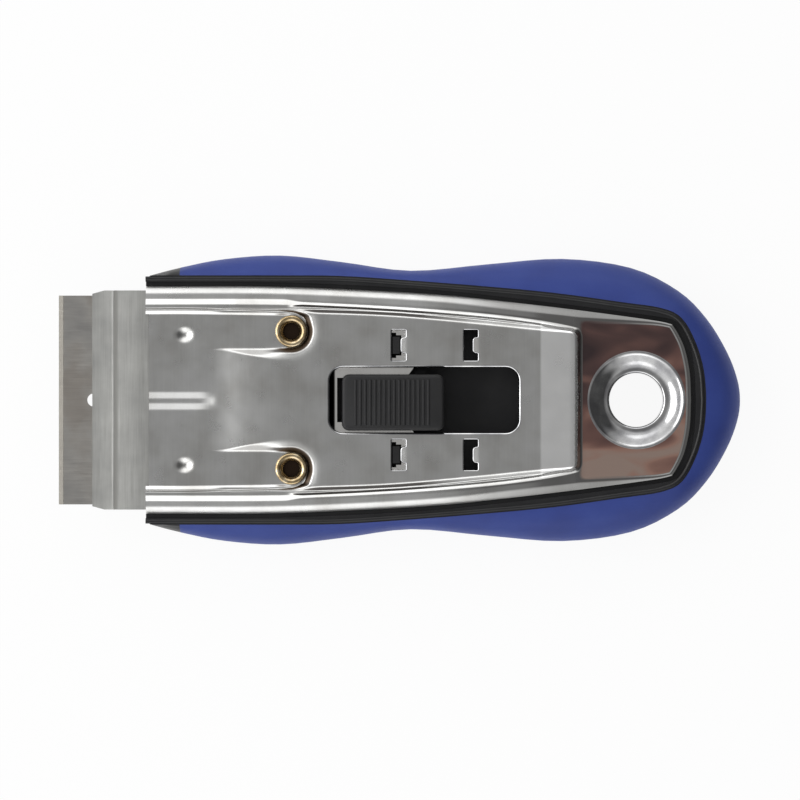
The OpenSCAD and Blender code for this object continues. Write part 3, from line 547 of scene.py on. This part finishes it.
# %% Pressed marks and rolled edge
DIMPLE, DIMPLE_R, DIMPLE_DEEP = (7.06, 11.85), 1.7, 0.65
BEAD_Y, BEAD_WALL, BEAD_END, BEAD_DEEP = -0.15, (1.78, 0.25), (13.2, 9.8), 0.45
WINDOW_STARTS, WINDOW_LENGTH, WINDOW_SIDES = (44.75, 57.85), 2.5, (7.2, 12.7)
TONGUE_TIP, TONGUE_SIDES, TONGUE_DROP = 1.55, (8.45, 11.45), 0.24
TAPER_START, TAPER_LENGTH = 79, 14
SINK, SINK_ZONE = 0.09, (78.5, 80.6)
ROLL_WIDE, ROLL_LESS = 1.45, 1.1
TILT, TILT_LESS, TILT_ZONE = 0.38, 0.16, (50, 80)


def tongue_drop(v, side):
    """How far the tongue of a latch window is bent down at a place."""
    inner, outer = WINDOW_SIDES
    between = ease(side, inner + 0.1, inner + 1.1) * ease(side, outer - 0.1, outer - 1.1)
    return sum(TONGUE_DROP * between * max(0, 1 - (v - start - 1.5) / 1.3)
               for start in WINDOW_STARTS if start + 0.6 < v < start + 2.8)


def pressed_down(v, y):
    """Depth of the two dimples, of the bead in the middle and of the tongues."""
    side = abs(y)
    off = math.hypot(v - DIMPLE[0], side - DIMPLE[1]) / DIMPLE_R
    bead = slant(abs(y - BEAD_Y), *BEAD_WALL, 0.12, 0.12) * slant(v, *BEAD_END)
    return DIMPLE_DEEP * max(0, 1 - off ** 2) ** 2 + BEAD_DEEP * bead + tongue_drop(v, side)


def edge_drop(v, edge):
    """How far the sheet is sunk round the dish, and rolled down along its edge."""
    taper = min(max((v - TAPER_START) / TAPER_LENGTH, 0), 1)
    sunk = SINK * slant(v, *SINK_ZONE) * slant(edge, 1.5 - taper, 2.6 - 1.65 * taper)
    roll = ROLL_WIDE - ROLL_LESS * taper
    tilt = TILT - TILT_LESS * ease(v, *TILT_ZONE)
    return sunk + tilt * roll * slant(roll - edge, 0, roll, 0.15, 0)


print("a dimple's depth, mm:", round(pressed_down(*DIMPLE), 2))

# %% Height of the sheet
POCKET_WIDER, NEAR_RAIL = 0.35, (13.5, 15.5)


def plate_height(v, y, edge):
    """Top of the sheet at a place, where edge is the distance to the sheet's edge."""
    side = abs(y)
    ring = math.hypot(max(v - RIVET[0], 0), side - RIVET[1]) - POCKET_WIDER * ease(side, *NEAR_RAIL)
    z = outer_forms(v, side, edge, ring)
    z += (plateau_top(v) - z) * plateau_share(v, side, ring)
    return z - pressed_down(v, y) - edge_drop(v, edge)


print("heights of plateau, pad and rear flange, mm:",
      [round(plate_height(v, y, 5), 2) for v, y in ((60, 0), (5, 5), (85, 0))])

# %% [markdown]
# ## Finishing a piece
# Every new piece ends the same way. Its faces are smooth, but edges sharper than
# an angle stay crisp. It is scaled from millimetres to metres in its mesh, so
# that its object stays at the origin, and it rides on the body that carries it.

# %% Finish a piece
def to_object(name, bm):
    """Turns a bmesh in millimetres into an object in metres, and adds it to the scene."""
    bmesh.ops.scale(bm, vec=(MM, MM, MM), verts=bm.verts)
    mesh = bpy.data.meshes.new(name)
    bm.to_mesh(mesh)
    bm.free()
    made = bpy.data.objects.new(name, mesh)
    bpy.context.scene.collection.objects.link(made)
    return made


def finish_piece(name, bm, body, material, crease=40):
    """Turns a bmesh in millimetres into a piece that rides on a body."""
    bmesh.ops.recalc_face_normals(bm, faces=bm.faces)
    for face in bm.faces:
        face.smooth = True
    for edge in bm.edges:
        edge.smooth = edge.is_manifold and edge.calc_face_angle(0) < math.radians(crease)
    made = to_object(name, bm)
    made.data.materials.append(material)
    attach(made, body)
    print(f"{name}: {len(made.data.polygons)} faces")
    return made


# %% [markdown]
# ## The sheet as one grid
# A grid whose points are lifted to the height of the forms makes the top, and its
# lower side is the same grid, moved down by extrusion. The rows are closer where
# the sheet bends, round the rivets, at the tongues and at the plateau's end. The
# columns are shares of the half width, so that every bend line runs true.

# %% Grid of the sheet
BOW_START = 82


def marks(spans):
    """Places along a line, from spans of start, end and step."""
    made = []
    for start, end, step in spans:
        count = max(1, round((end - start) / step))
        made += [start + (end - start) * i / count for i in range(count)]
    return [*made, spans[-1][1]]


def grid_sheet(bm, rows, columns, place, under):
    """A closed sheet: place(row, column) gives a top point, under(point) the height below."""
    bmesh.ops.create_grid(bm, x_segments=len(rows) - 1, y_segments=len(columns) - 1, size=1)
    for vert in bm.verts:
        row = rows[round((vert.co.x + 1) / 2 * (len(rows) - 1))]
        column = columns[round((vert.co.y + 1) / 2 * (len(columns) - 1))]
        vert.co = place(row, column)
    lower = bmesh.ops.extrude_face_region(bm, geom=bm.faces[:], use_keep_orig=True)["geom"]
    for vert in lower:
        if isinstance(vert, bmesh.types.BMVert):
            vert.co.z = under(vert.co)


def plate_point(row, share):
    """Point on the plate's top, from a place along it and a share of its half width."""
    bow = ease(row, BOW_START, CORNER_V) * (plate_back(abs(share) * CORNER_Y) - CORNER_V)
    v, y = row + bow, share * plate_side(row)
    edge = min((1 - abs(share)) * plate_side(row), plate_back(min(abs(y), CORNER_Y)) - v)
    return (FRONT + v, y, plate_height(v, y, edge))


rows = marks([(0, 11.4, 0.6), (11.4, 22.5, 0.4), (22.5, 32.1, 0.15), (32.1, 45.35, 1.2),
              (45.35, 47.65, 0.3), (47.65, 58.45, 1.2), (58.45, 60.75, 0.3), (60.75, 70.5, 1.1),
              (70.5, 80, 0.24), (80, 94.6, 0.95), (94.6, CORNER_V, 0.11)])
half = marks([(0, 2, 0.2), (2, 7, 0.7), (7, 9.5, 0.15), (9.5, 13, 0.3), (13, 15.2, 0.2),
              (15.2, 18.6, 0.11), (18.6, HALF_WIDTH, 0.19)])
columns = [-y / HALF_WIDTH for y in reversed(half[1:])] + [y / HALF_WIDTH for y in half]
bm = bmesh.new()
grid_sheet(bm, rows, columns, plate_point, lambda point: max(point.z - SHEET_T, LEDGE_Z))
print("sheet:", len(rows), "rows,", len(columns), "columns")
sheet = finish_piece("stamped_plate", bm, "handle", plate_steel, crease=60)
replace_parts(sheet, "top_plate")

# %% [markdown]
# ## Punched openings
# The thumb slot, the four latch windows, the rivet holes and the seat of the
# dish are punched through the sheet, and its front is cut back a little between
# the rails. The punches are plain blocks and prisms, joined in one mesh, and one
# Boolean modifier cuts them all. Each window keeps a tongue of sheet on its tail
# side, so its punch is shaped like a C.

# %% Blocks and rounded edges
def upright(verts):
    """The edges at these vertices that stand rather than lie."""
    edges = dict.fromkeys(e for v in verts for e in v.link_edges)
    rises = {e: e.verts[1].co - e.verts[0].co for e in edges}
    return [e for e, rise in rises.items() if abs(rise.z) > rise.xy.length]


def round_edges(bm, edges, radius, segments):
    """Bevels edges with a round profile."""
    return bmesh.ops.bevel(bm, geom=edges, offset=radius, offset_type="OFFSET",
                           segments=segments, profile=0.5, affect="EDGES", material=-1)


def block(bm, low, high):
    """A box between two corners, in millimetres."""
    verts = bmesh.ops.create_cube(bm, size=1)["verts"]
    bmesh.ops.scale(bm, vec=Vector(high) - Vector(low), verts=verts)
    bmesh.ops.translate(bm, vec=(Vector(high) + Vector(low)) / 2, verts=verts)
    return verts


bm = bmesh.new()
print("upright edges of a block:", len(upright(block(bm, (0, 0, 0), (1, 1, 1)))))
bm.free()

# %% Punches
SLOT_START, SLOT_END, SLOT_HALF, SLOT_CORNER = 33.5, 67.8, 5.9, 2.4
SLOT_ROLL, WINDOW_ROLL, WINDOW_CORNER = 0.42, 0.26, 0.4
WINDOWS = [(v, side) for v in WINDOW_STARTS for side in (-1, 1)]
RIVET_HOLE_R, JAW_HOLE_R = 2.3, 2.25
HOLE, HOLE_R, DISH_R = (FRONT + 89.3, 0), 4.9, 8.95
CUT_BACK, CUT_BACK_HALF = 0.6, 15.6
PUNCH_LOW, PUNCH_HIGH, OVERRUN = 5, 20, 2


def window_outline(v, side):
    """C-shaped opening round a tongue that points to the front, with room for its edge."""
    x0, x1 = FRONT + v - WINDOW_ROLL, FRONT + v + WINDOW_LENGTH + WINDOW_ROLL
    y0, y1 = WINDOW_SIDES[0] - WINDOW_ROLL, WINDOW_SIDES[1] + WINDOW_ROLL
    tongue_x = FRONT + v + TONGUE_TIP + WINDOW_ROLL
    t0, t1 = TONGUE_SIDES[0] + WINDOW_ROLL, TONGUE_SIDES[1] - WINDOW_ROLL
    points = [(x0, y0), (x1, y0), (x1, t0), (tongue_x, t0), (tongue_x, t1), (x1, t1), (x1, y1), (x0, y1)]
    return [(x, side * y) for x, y in points][::side]


def window_punch(bm, outline):
    """An upright prism over an outline, with its corners rounded."""
    face = bm.faces.new([bm.verts.new((x, y, PUNCH_LOW)) for x, y in outline])
    grown = bmesh.ops.extrude_face_region(bm, geom=[face], use_keep_orig=True)["geom"]
    verts = [v for v in grown if isinstance(v, bmesh.types.BMVert)]
    bmesh.ops.translate(bm, vec=(0, 0, PUNCH_HIGH - PUNCH_LOW), verts=verts)
    round_edges(bm, upright(verts), WINDOW_CORNER, 5)


def round_punch(bm, radius, x, y):
    """An upright round bar through the whole height of the sheets."""
    made = bmesh.ops.create_cone(bm, cap_ends=True, segments=96, radius1=radius, radius2=radius,
                                 depth=PUNCH_HIGH - PUNCH_LOW)["verts"]
    bmesh.ops.translate(bm, vec=(x, y, (PUNCH_LOW + PUNCH_HIGH) / 2), verts=made)


def punch(piece, bm):
    """Cuts the solids of a bmesh in millimetres out of a piece."""
    bmesh.ops.recalc_face_normals(bm, faces=bm.faces)
    punches = to_object("punches", bm)
    cut = piece.modifiers.new("punched", "BOOLEAN")
    cut.object, cut.operation, cut.solver = punches, "DIFFERENCE", "EXACT"
    bpy.context.view_layer.update()
    after = piece.evaluated_get(bpy.context.evaluated_depsgraph_get())
    punched = bpy.data.meshes.new_from_object(after)
    piece.modifiers.clear()
    piece.data = punched
    bpy.data.objects.remove(punches)


print(len(WINDOWS), "windows, each with", len(window_outline(*WINDOWS[0])), "corners")

# %% Cut the openings
slot_x0, slot_x1 = FRONT + SLOT_START - SLOT_ROLL, FRONT + SLOT_END + SLOT_ROLL
slot_y = SLOT_HALF + SLOT_ROLL
bm = bmesh.new()
slot_punch = block(bm, (slot_x0, -slot_y, PUNCH_LOW), (slot_x1, slot_y, PUNCH_HIGH))
round_edges(bm, upright(slot_punch), SLOT_CORNER + SLOT_ROLL, 10)
block(bm, (FRONT - OVERRUN, -CUT_BACK_HALF, PUNCH_LOW), (FRONT + CUT_BACK, CUT_BACK_HALF, PUNCH_HIGH))
for v, side in WINDOWS:
    window_punch(bm, window_outline(v, side))
for side in (-1, 1):
    round_punch(bm, RIVET_HOLE_R, FRONT + RIVET[0], side * RIVET[1])
round_punch(bm, DISH_R, *HOLE)
punch(sheet, bm)
print("plate after punching:", len(sheet.data.polygons), "faces")

# %% [markdown]
# ## Rolled edges of the openings
# A punched edge in thin sheet is drawn down and rounded on its top side, and it
# catches the light as a bright line. A fine tube along each opening, level with
# the sheet's top, gives that rounded edge. Along a tongue the tube bends down.

# %% Edge tubes
def tube(bm, path, radius, closed=True, sides=10):
    """A round bar along a path, made by joining rings of points."""
    count = len(path)
    rings = []
    for i, spot in enumerate(path):
        ahead = path[(i + 1) % count] if closed or i < count - 1 else spot
        behind = path[i - 1] if closed or i else spot
        facing = (ahead - behind).to_track_quat("Z", "Y").to_matrix().to_4x4()
        ring = bmesh.ops.create_circle(bm, segments=sides, radius=radius,
                                       matrix=Matrix.Translation(spot) @ facing)["verts"]
        rings.append(list(dict.fromkeys(e for v in ring for e in v.link_edges)))
    for one, two in zip(rings, rings[1:] + rings[:1] if closed else rings[1:]):
        bmesh.ops.bridge_loops(bm, edges=one + two)
    if not closed:
        bmesh.ops.holes_fill(bm, edges=rings[0] + rings[-1])


def rounded_path(outline, radius, z, steps):
    """Points along a closed outline with its corners turned at a radius."""
    points = [Vector((x, y, z)) for x, y in outline]
    made = []
    for i, corner in enumerate(points):
        back = (points[i - 1] - corner).normalized()
        on = (points[(i + 1) % len(points)] - corner).normalized()
        for k in range(steps + 1):
            turn = math.pi / 2 * k / steps
            made.append(corner + radius * (back * (1 - math.sin(turn)) + on * (1 - math.cos(turn))))
    return made


bm = bmesh.new()
slot_outline = [(slot_x0, -slot_y), (slot_x1, -slot_y), (slot_x1, slot_y), (slot_x0, slot_y)]
tube(bm, rounded_path(slot_outline, SLOT_CORNER + SLOT_ROLL, PLATEAU_Z - SLOT_ROLL, 10), SLOT_ROLL)
for v, side in WINDOWS:
    path = rounded_path(window_outline(v, side), WINDOW_CORNER, PLATEAU_Z - WINDOW_ROLL, 4)
    for point in path:
        point.z -= tongue_drop(point.x - FRONT, abs(point.y))
    tube(bm, path, WINDOW_ROLL)
finish_piece("opening_edges", bm, "handle", dish_steel, crease=80)

# %% [markdown]
# ## The dish round the hanging hole
# The punch drew the sheet down into a shallow dish and a collar, so that the
# handle hangs flat on its hook. A lathe shape says it best: half a section, with
# its bends rounded, spun all the way round the hole.

# %% Spin the dish
DISH = [(DISH_R, SINK), (8.75, SINK - 0.03), (8.5, SINK + 0.02), (8.1, 0.28), (7.2, 0.6), (6.3, 0.98),
        (5.75, 1.14), (5.35, 1.17), (5.08, 1.28), (4.93, 1.52), (HOLE_R, 1.9)]
COLLAR = [(HOLE_R, 4.4), (5.7, 4.4), (5.7, 2.0), (DISH_R - 0.3, SHEET_T), (DISH_R, SHEET_T)]


def lathe(bm, section, middle, steps=96):
    """Spins a closed half section, in radius and height, round an upright axis."""
    verts = [bm.verts.new((middle[0] + r, middle[1], z)) for r, z in section]
    edges = [bm.edges.new(pair) for pair in zip(verts, verts[1:] + verts[:1])]
    bmesh.ops.spin(bm, geom=verts + edges, cent=(*middle, 0), axis=(0, 0, 1),
                   angle=2 * math.pi, steps=steps, use_merge=True)
    bmesh.ops.remove_doubles(bm, verts=bm.verts, dist=0.0005)


dish_top = smooth_line([(radius, FLANGE_Z - depth) for radius, depth in DISH], 4)
bm = bmesh.new()
lathe(bm, dish_top + [Vector((radius, FLANGE_Z - depth)) for radius, depth in COLLAR], HOLE)
finish_piece("hanging_dish", bm, "handle", dish_steel, crease=50)

# %% [markdown]
# ## The upper jaw
# The jaw is one sheet that reaches forward over the blade. Its lip is bent down a
# little behind a small crease, its front corners are slanted, and its narrower
# tail lies under the plate, where the two rivets pass through it.

# %% Bend and punch the jaw
jaw_low, jaw_high = (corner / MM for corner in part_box("upper_jaw"))
JAW_T = 0.6
JAW_RISE = jaw_high.z - jaw_low.z - JAW_T
CORNER_CUT, RISE_END = 2.2, 9
LIP, CREASE_HIGH, CREASE_HALF = 3.8, 0.014, 0.24
TAIL_START = RIVET[0] - 5.5 + FRONT - jaw_low.x
TAIL_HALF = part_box("blade_carrier")[1].y / MM + 0.3


def jaw_point(row, share):
    """Point on the jaw's top, from a distance to its front edge and a share of its half width."""
    half_width = TAIL_HALF if row > TAIL_START else jaw_high.y - JAW_T * max(0, 1 - row / CORNER_CUT)
    crease = CREASE_HIGH * max(0, 1 - ((row - LIP) / CREASE_HALF) ** 2) ** 2
    rise = min(JAW_RISE * ease(row, 0, RISE_END) + crease, JAW_RISE)
    return (jaw_low.x + row, share * half_width, jaw_low.z + JAW_T + rise)


bm = bmesh.new()
rows = marks([(0, CORNER_CUT, 0.55), (CORNER_CUT, LIP - 0.4, 0.4), (LIP - 0.4, LIP + 0.4, 0.08),
              (LIP + 0.4, 9.8, 0.5), (9.8, TAIL_START, 3), (TAIL_START, TAIL_START + 0.05, 0.05),
              (TAIL_START + 0.05, jaw_high.x - jaw_low.x, 3)])
grid_sheet(bm, rows, marks([(-1, 1, 0.1)]), jaw_point, lambda point: point.z - JAW_T)
jaw = finish_piece("jaw_sheet", bm, "handle", jaw_steel, crease=40)
bm = bmesh.new()
for side in (-1, 1):
    round_punch(bm, JAW_HOLE_R, FRONT + RIVET[0], side * RIVET[1])
punch(jaw, bm)
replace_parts(jaw, "upper_jaw")

# %% [markdown]
# ## Rivets
# Two eyelets of brass tube hold the plate, the jaws and the handle together, and
# the carrier slides past their shanks. The top of each is rolled outwards into a
# round crown. They are lathe shapes too, with the crown as a soft curve.

# %% Spin the rivets
SHANK_R, BORE_R, BORE_DEEP = 2.2, 1.4, 3.2
CROWN = [(SHANK_R, -0.05), (2.6, 0), (2.86, 0.14), (2.88, 0.36), (2.68, 0.55), (2.38, 0.6),
         (2.1, 0.52), (1.88, 0.34), (1.7, 0.08), (1.5, -0.2), (1.42, -0.7), (BORE_R, -1.8)]

for name, side in (("rivet_left", 1), ("rivet_right", -1)):
    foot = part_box(name)[0].z / MM
    crown = smooth_line([(radius, PAD_Z + up) for radius, up in CROWN], 4)
    inside = [(BORE_R, PAD_Z - BORE_DEEP), (0, PAD_Z - BORE_DEEP), (0, foot), (SHANK_R, foot)]
    bm = bmesh.new()
    lathe(bm, crown + inside, (FRONT + RIVET[0], side * RIVET[1]), 64)
    eyelet = finish_piece(f"eyelet_{name[6:]}", bm, "handle", brass, crease=60)
    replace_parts(eyelet, name)

# %% [markdown]
# ## The thumb button
# The button is a wedge of black plastic that rises towards the tail, so that the
# thumb can push it down and forward. Its corners are rounded, its top carries
# sixteen ribs, and a plain strip is left behind them. It starts as a box whose
# top is tipped, then its edges are bevelled, and each rib is a small rounded bar.

# %% Wedge of the button
low, high = (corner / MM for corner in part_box("thumb_button"))
CAP_Z = PLATEAU_Z - 1.2
CAP_HALF = (high.y - low.y) / 2
FRONT_HIGH, RIB_ROOM = 1.5, 0.3
REAR_SHARE = 0.985
CORNER_R, EDGE_R = 1.3, 0.55


def cap_top(x):
    """Height of the wedge's top at a place."""
    climb = high.z - RIB_ROOM - CAP_Z - FRONT_HIGH
    return CAP_Z + FRONT_HIGH + climb * (x - low.x) / (high.x - low.x)


bm = bmesh.new()
wedge = block(bm, (low.x, -CAP_HALF, CAP_Z), (high.x, CAP_HALF, high.z))
for vert in wedge:
    if vert.co.z > CAP_Z + FRONT_HIGH / 2:
        vert.co.z = cap_top(vert.co.x)
        vert.co.y *= REAR_SHARE if vert.co.x > (low.x + high.x) / 2 else 1.0
round_edges(bm, upright(wedge), CORNER_R, 6)
bm.normal_update()
round_top = [e for e in bm.edges if any(f.normal.z > 0.9 for f in e.link_faces)
             and any(abs(f.normal.z) < 0.5 for f in e.link_faces)]
round_edges(bm, round_top, EDGE_R, 4)
tip = math.atan2(cap_top(1) - cap_top(0), 1)
print("the button's top is tipped by", round(math.degrees(tip), 1), "degrees")

# %% Ribs and stem
RIBS, RIB_PITCH, RIB_START = 16, 0.88, 2.5
RIB_HALF, RIB_HIGH, RIB_DEEP, RIB_ROUND = 0.24, 0.13, 0.3, 0.12
RIB_REACH = CAP_HALF - 0.95
NECK_START, NECK_END, NECK_HALF, NECK_HIGH = 0.2, 16, 3.3, 0.4
STEM_START, STEM_END, STEM_HALF, STEM_HIGH = 4.3, 13.3, 2, 1.4

for i in range(RIBS):
    x = low.x + RIB_START + i * RIB_PITCH
    bar = block(bm, (-RIB_HALF, -RIB_REACH, -RIB_DEEP), (RIB_HALF, RIB_REACH, RIB_HIGH))
    crest = [e for e in dict.fromkeys(e for v in bar for e in v.link_edges)
             if all(v.co.z > 0 for v in e.verts)]
    new = round_edges(bm, crest, RIB_ROUND, 3)
    whole = {v for v in bar if v.is_valid} | set(new["verts"]) | {v for f in new["faces"] for v in f.verts}
    turned = Matrix.Translation((x, 0, cap_top(x))) @ Matrix.Rotation(-tip, 4, "Y")
    bmesh.ops.transform(bm, matrix=turned, verts=list(whole))
block(bm, (low.x + NECK_START, -NECK_HALF, low.z + STEM_HIGH - 0.05),
      (low.x + NECK_END, NECK_HALF, CAP_Z + NECK_HIGH))
block(bm, (low.x + STEM_START, -STEM_HALF, low.z), (low.x + STEM_END, STEM_HALF, low.z + STEM_HIGH))
bmesh.ops.translate(bm, vec=(0, (low.y + high.y) / 2, 0), verts=bm.verts)
cap = finish_piece("ribbed_button", bm, "button", button_plastic, crease=50)
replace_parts(cap, "thumb_button")

# %% [markdown]
# ## Rubber skin and handle
# The two mouldings have the right shape in CAD, but their meshes come as loose
# triangles. A merged copy lets the long curves shade smoothly, and it stands in
# for the node.

# %% Smooth copies of the mouldings
def smooth_copy(node, name, body, material, crease):
    """A merged, smooth copy of a CAD node that stands in its place."""
    bm = bmesh.new()
    bm.from_mesh(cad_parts[node].data)
    bmesh.ops.remove_doubles(bm, verts=bm.verts, dist=0.000001)
    bmesh.ops.scale(bm, vec=(1 / MM, 1 / MM, 1 / MM), verts=bm.verts)
    made = finish_piece(name, bm, body, material, crease)
    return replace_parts(made, node)


smooth_copy("soft_grip", "rubber_skin", "handle", blue_rubber, 38)
smooth_copy("handle_shell", "handle_core", "handle", shell_plastic, 30)

# %% [markdown]
# ## Bead along the rim
# A moulded bead along the top of the rim hides the seam between the rubber and
# the plastic, and catches a thin line of light. It is a tube along the rim's
# outline, moved inwards and sunk a little.

# %% Bead of the rim
RIM = [(0, 22.65), (6.22, 22.65), (14.06, 22.65), (24.46, 22.65), (35.16, 22.56),
       (46.36, 21.86), (60.12, 20.79), (73.88, 19.52), (86.62, 17.78), (93.75, 16.72),
       (97.52, 14.84), (100.07, 10.31), (101.49, 5.32), (101.9, 0)]
RIM_BEAD_R, BEAD_INSET, BEAD_SUNK = 0.42, 0.6, 0.12

rim_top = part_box("handle_shell")[1].z / MM
outer = [Vector((FRONT + p.x, -p.y, rim_top)) for p in smooth_line(RIM, 5)]
outer += [Vector((p.x, -p.y, p.z)) for p in reversed(outer[:-1])]
path = []
for i, spot in enumerate(outer):
    along = (outer[min(i + 1, len(outer) - 1)] - outer[max(i - 1, 0)]).normalized()
    path.append(spot + Vector((-along.y, along.x, 0)) * BEAD_INSET - Vector((0, 0, BEAD_SUNK)))
bm = bmesh.new()
tube(bm, path, RIM_BEAD_R, closed=False, sides=12)
finish_piece("rim_bead", bm, "handle", shell_plastic, crease=70)

# %% [markdown]
# ## The spring, and nodes that keep their CAD shape
# The leaf spring under the button lies flatter as the button goes down; its
# smooth copy gets a mesh of its own, and keeps its CAD shape. The lower jaw, the blade
# and the parts that slide are plain sheet and strip, and their CAD solids are
# right as they are. Each only gets the finish of its own metal.

# %% Spring, and finishes of the CAD nodes
foot, crown = (corner.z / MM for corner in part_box("return_spring"))
leaf = smooth_copy("return_spring", "leaf_spring", "slide", dish_steel, 30)
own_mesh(leaf)
FINISHES = {"lower_jaw": shade_steel, "blade_carrier": carrier_steel,
            "blade_clip": shade_steel, "clip_rivets": shade_steel, "razor_blade": blade_steel,
            "blade_spine": shade_steel, "latch_arms": button_plastic}
for node, material in FINISHES.items():
    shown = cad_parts[node]
    shown.data.materials.clear()
    shown.data.materials.append(material)
    print(node, "->", material.name)

# %% [markdown]
# ## Studio
# The tool lies on a white table in soft light that comes mostly from the blade's
# side. Metal shows what surrounds it more than its own colour. So the sky that
# only reflections see is white near the horizon, darker towards the tail, and has
# a grey panel overhead that leans a little towards the blade: flat steel turns
# grey and each bend lights up. The camera itself sees plain white.

# %% World
OVERHEAD = (-0.07, 0, 0.9975)
SKY = [(0.0, 1.0), (0.7, 1.2), (0.82, 1.0), (0.9, 0.5), (0.95, 0.35), (1.0, 0.318)]
TAIL_SIDE, TAIL_DIM = (0.12, 0.55), 0.08
SOFT_FILL = (0.36, 0.36, 0.37, 1)


def ray_kinds(tree):
    """Whether the camera sees this, and whether a mirror or glass does."""
    rays = add(tree, "LightPath").outputs
    mirror = add(tree, "Math", {0: rays["Is Glossy Ray"], 1: rays["Is Transmission Ray"]},
                 operation="MAXIMUM")
    return rays["Is Camera Ray"], mirror


world = bpy.data.worlds.new("studio")
bpy.context.scene.world = world
world.use_nodes = True
tree = world.node_tree
direction = add(tree, "TexCoord").outputs["Generated"]
overhead_panel = add(tree, "VectorMath", {0: direction, 1: OVERHEAD}, operation="DOT_PRODUCT")
sky = add(tree, "ValToRGB", {"Fac": overhead_panel},
          stops=[(place, (grey, grey, grey, 1)) for place, grey in SKY])
towards_tail = add(tree, "SeparateXYZ", {"Vector": direction}).outputs["X"]
tail_side = add(tree, "MapRange", slope(towards_tail, *TAIL_SIDE, 1.0, TAIL_DIM))
shaded = add(tree, "VectorMath", {"Vector": sky, "Scale": tail_side}, operation="SCALE")
by_camera, by_mirror = ray_kinds(tree)
lit = add(tree, "Mix", {"Factor": by_mirror, "A": SOFT_FILL, "B": shaded}, data_type="RGBA")
seen = add(tree, "Mix", {"Factor": by_camera, "A": lit, "B": WHITE}, data_type="RGBA")
fill(tree.nodes["Background"], {"Color": seen})
print("brightness of the panel overhead:", SKY[-1][1])

# %% [markdown]
# ## Table
# White paper glows a little for the camera and for reflections, so that it looks
# white there, and stays plain diffuse paper for all other light, so that the
# object's shadow still falls on it.

# %% Floor
FLOOR_HALF, GLOW = 4, 0.93

bm = bmesh.new()
bmesh.ops.create_grid(bm, x_segments=1, y_segments=1, size=FLOOR_HALF / MM)
floor = to_object("floor", bm)
table = bpy.data.materials.new("white_table")
table.use_nodes = True
tree = table.node_tree
tree.nodes.remove(tree.nodes["Principled BSDF"])
by_camera, by_mirror = ray_kinds(tree)
in_view = add(tree, "Math", {0: by_mirror, 1: by_camera}, operation="MAXIMUM")
glow = add(tree, "Math", {0: in_view, 1: GLOW}, operation="MULTIPLY")
paper = add(tree, "BsdfDiffuse", {"Color": "#f7f7f6"})
glowing = add(tree, "Emission", {"Color": WHITE})
mixed = add(tree, "MixShader", {0: glow, 1: paper, 2: glowing})
fill(tree.nodes["Material Output"], {"Surface": mixed})
floor.data.materials.append(table)
print("floor, m:", [round(side, 2) for side in floor.dimensions])

# %% [markdown]
# ## Lamps
# A large soft box near the blade's side is the main light, and a long one on each
# side of the tool fills the shadows. Each faces the tool.

# %% Lamps
for name, place, size, watts in (
        ("key_box", (-0.62, 0.05, 0.42), (0.7, 0.6), 3.8),
        ("side_box_left", (-0.1, 0.62, 0.4), (1.0, 0.4), 1.3),
        ("side_box_right", (-0.1, -0.62, 0.4), (1.0, 0.4), 1.3)):
    lamp = bpy.data.lights.new(name, "AREA")
    lamp.shape, lamp.size, lamp.size_y, lamp.energy = "RECTANGLE", *size, watts
    softbox = bpy.data.objects.new(name, lamp)
    softbox.location = place
    softbox.rotation_euler = (-Vector(place)).to_track_quat("-Z", "Y").to_euler()
    bpy.context.scene.collection.objects.link(softbox)
    print(f"{name}: {watts} W from {Vector(place).length:.2f} m")

# %% [markdown]
# ## Camera
# The photograph looks straight down. A long lens about 0.8 m above the tool
# keeps its sides nearly parallel, and 800 pixels span 145.6 mm at the plate.

# %% Camera
PLATE_LEVEL, SPAN = 0.011, 0.1456

view = bpy.data.cameras.new("overhead")
view.lens, view.sensor_width = 200, 36
overhead = bpy.data.objects.new("overhead", view)
overhead.location = (0, 0, PLATE_LEVEL + SPAN * view.lens / view.sensor_width)
bpy.context.scene.collection.objects.link(overhead)
bpy.context.scene.camera = overhead
bpy.context.scene.view_settings.view_transform = "Standard"
print("camera height, m:", round(overhead.location.z, 4))
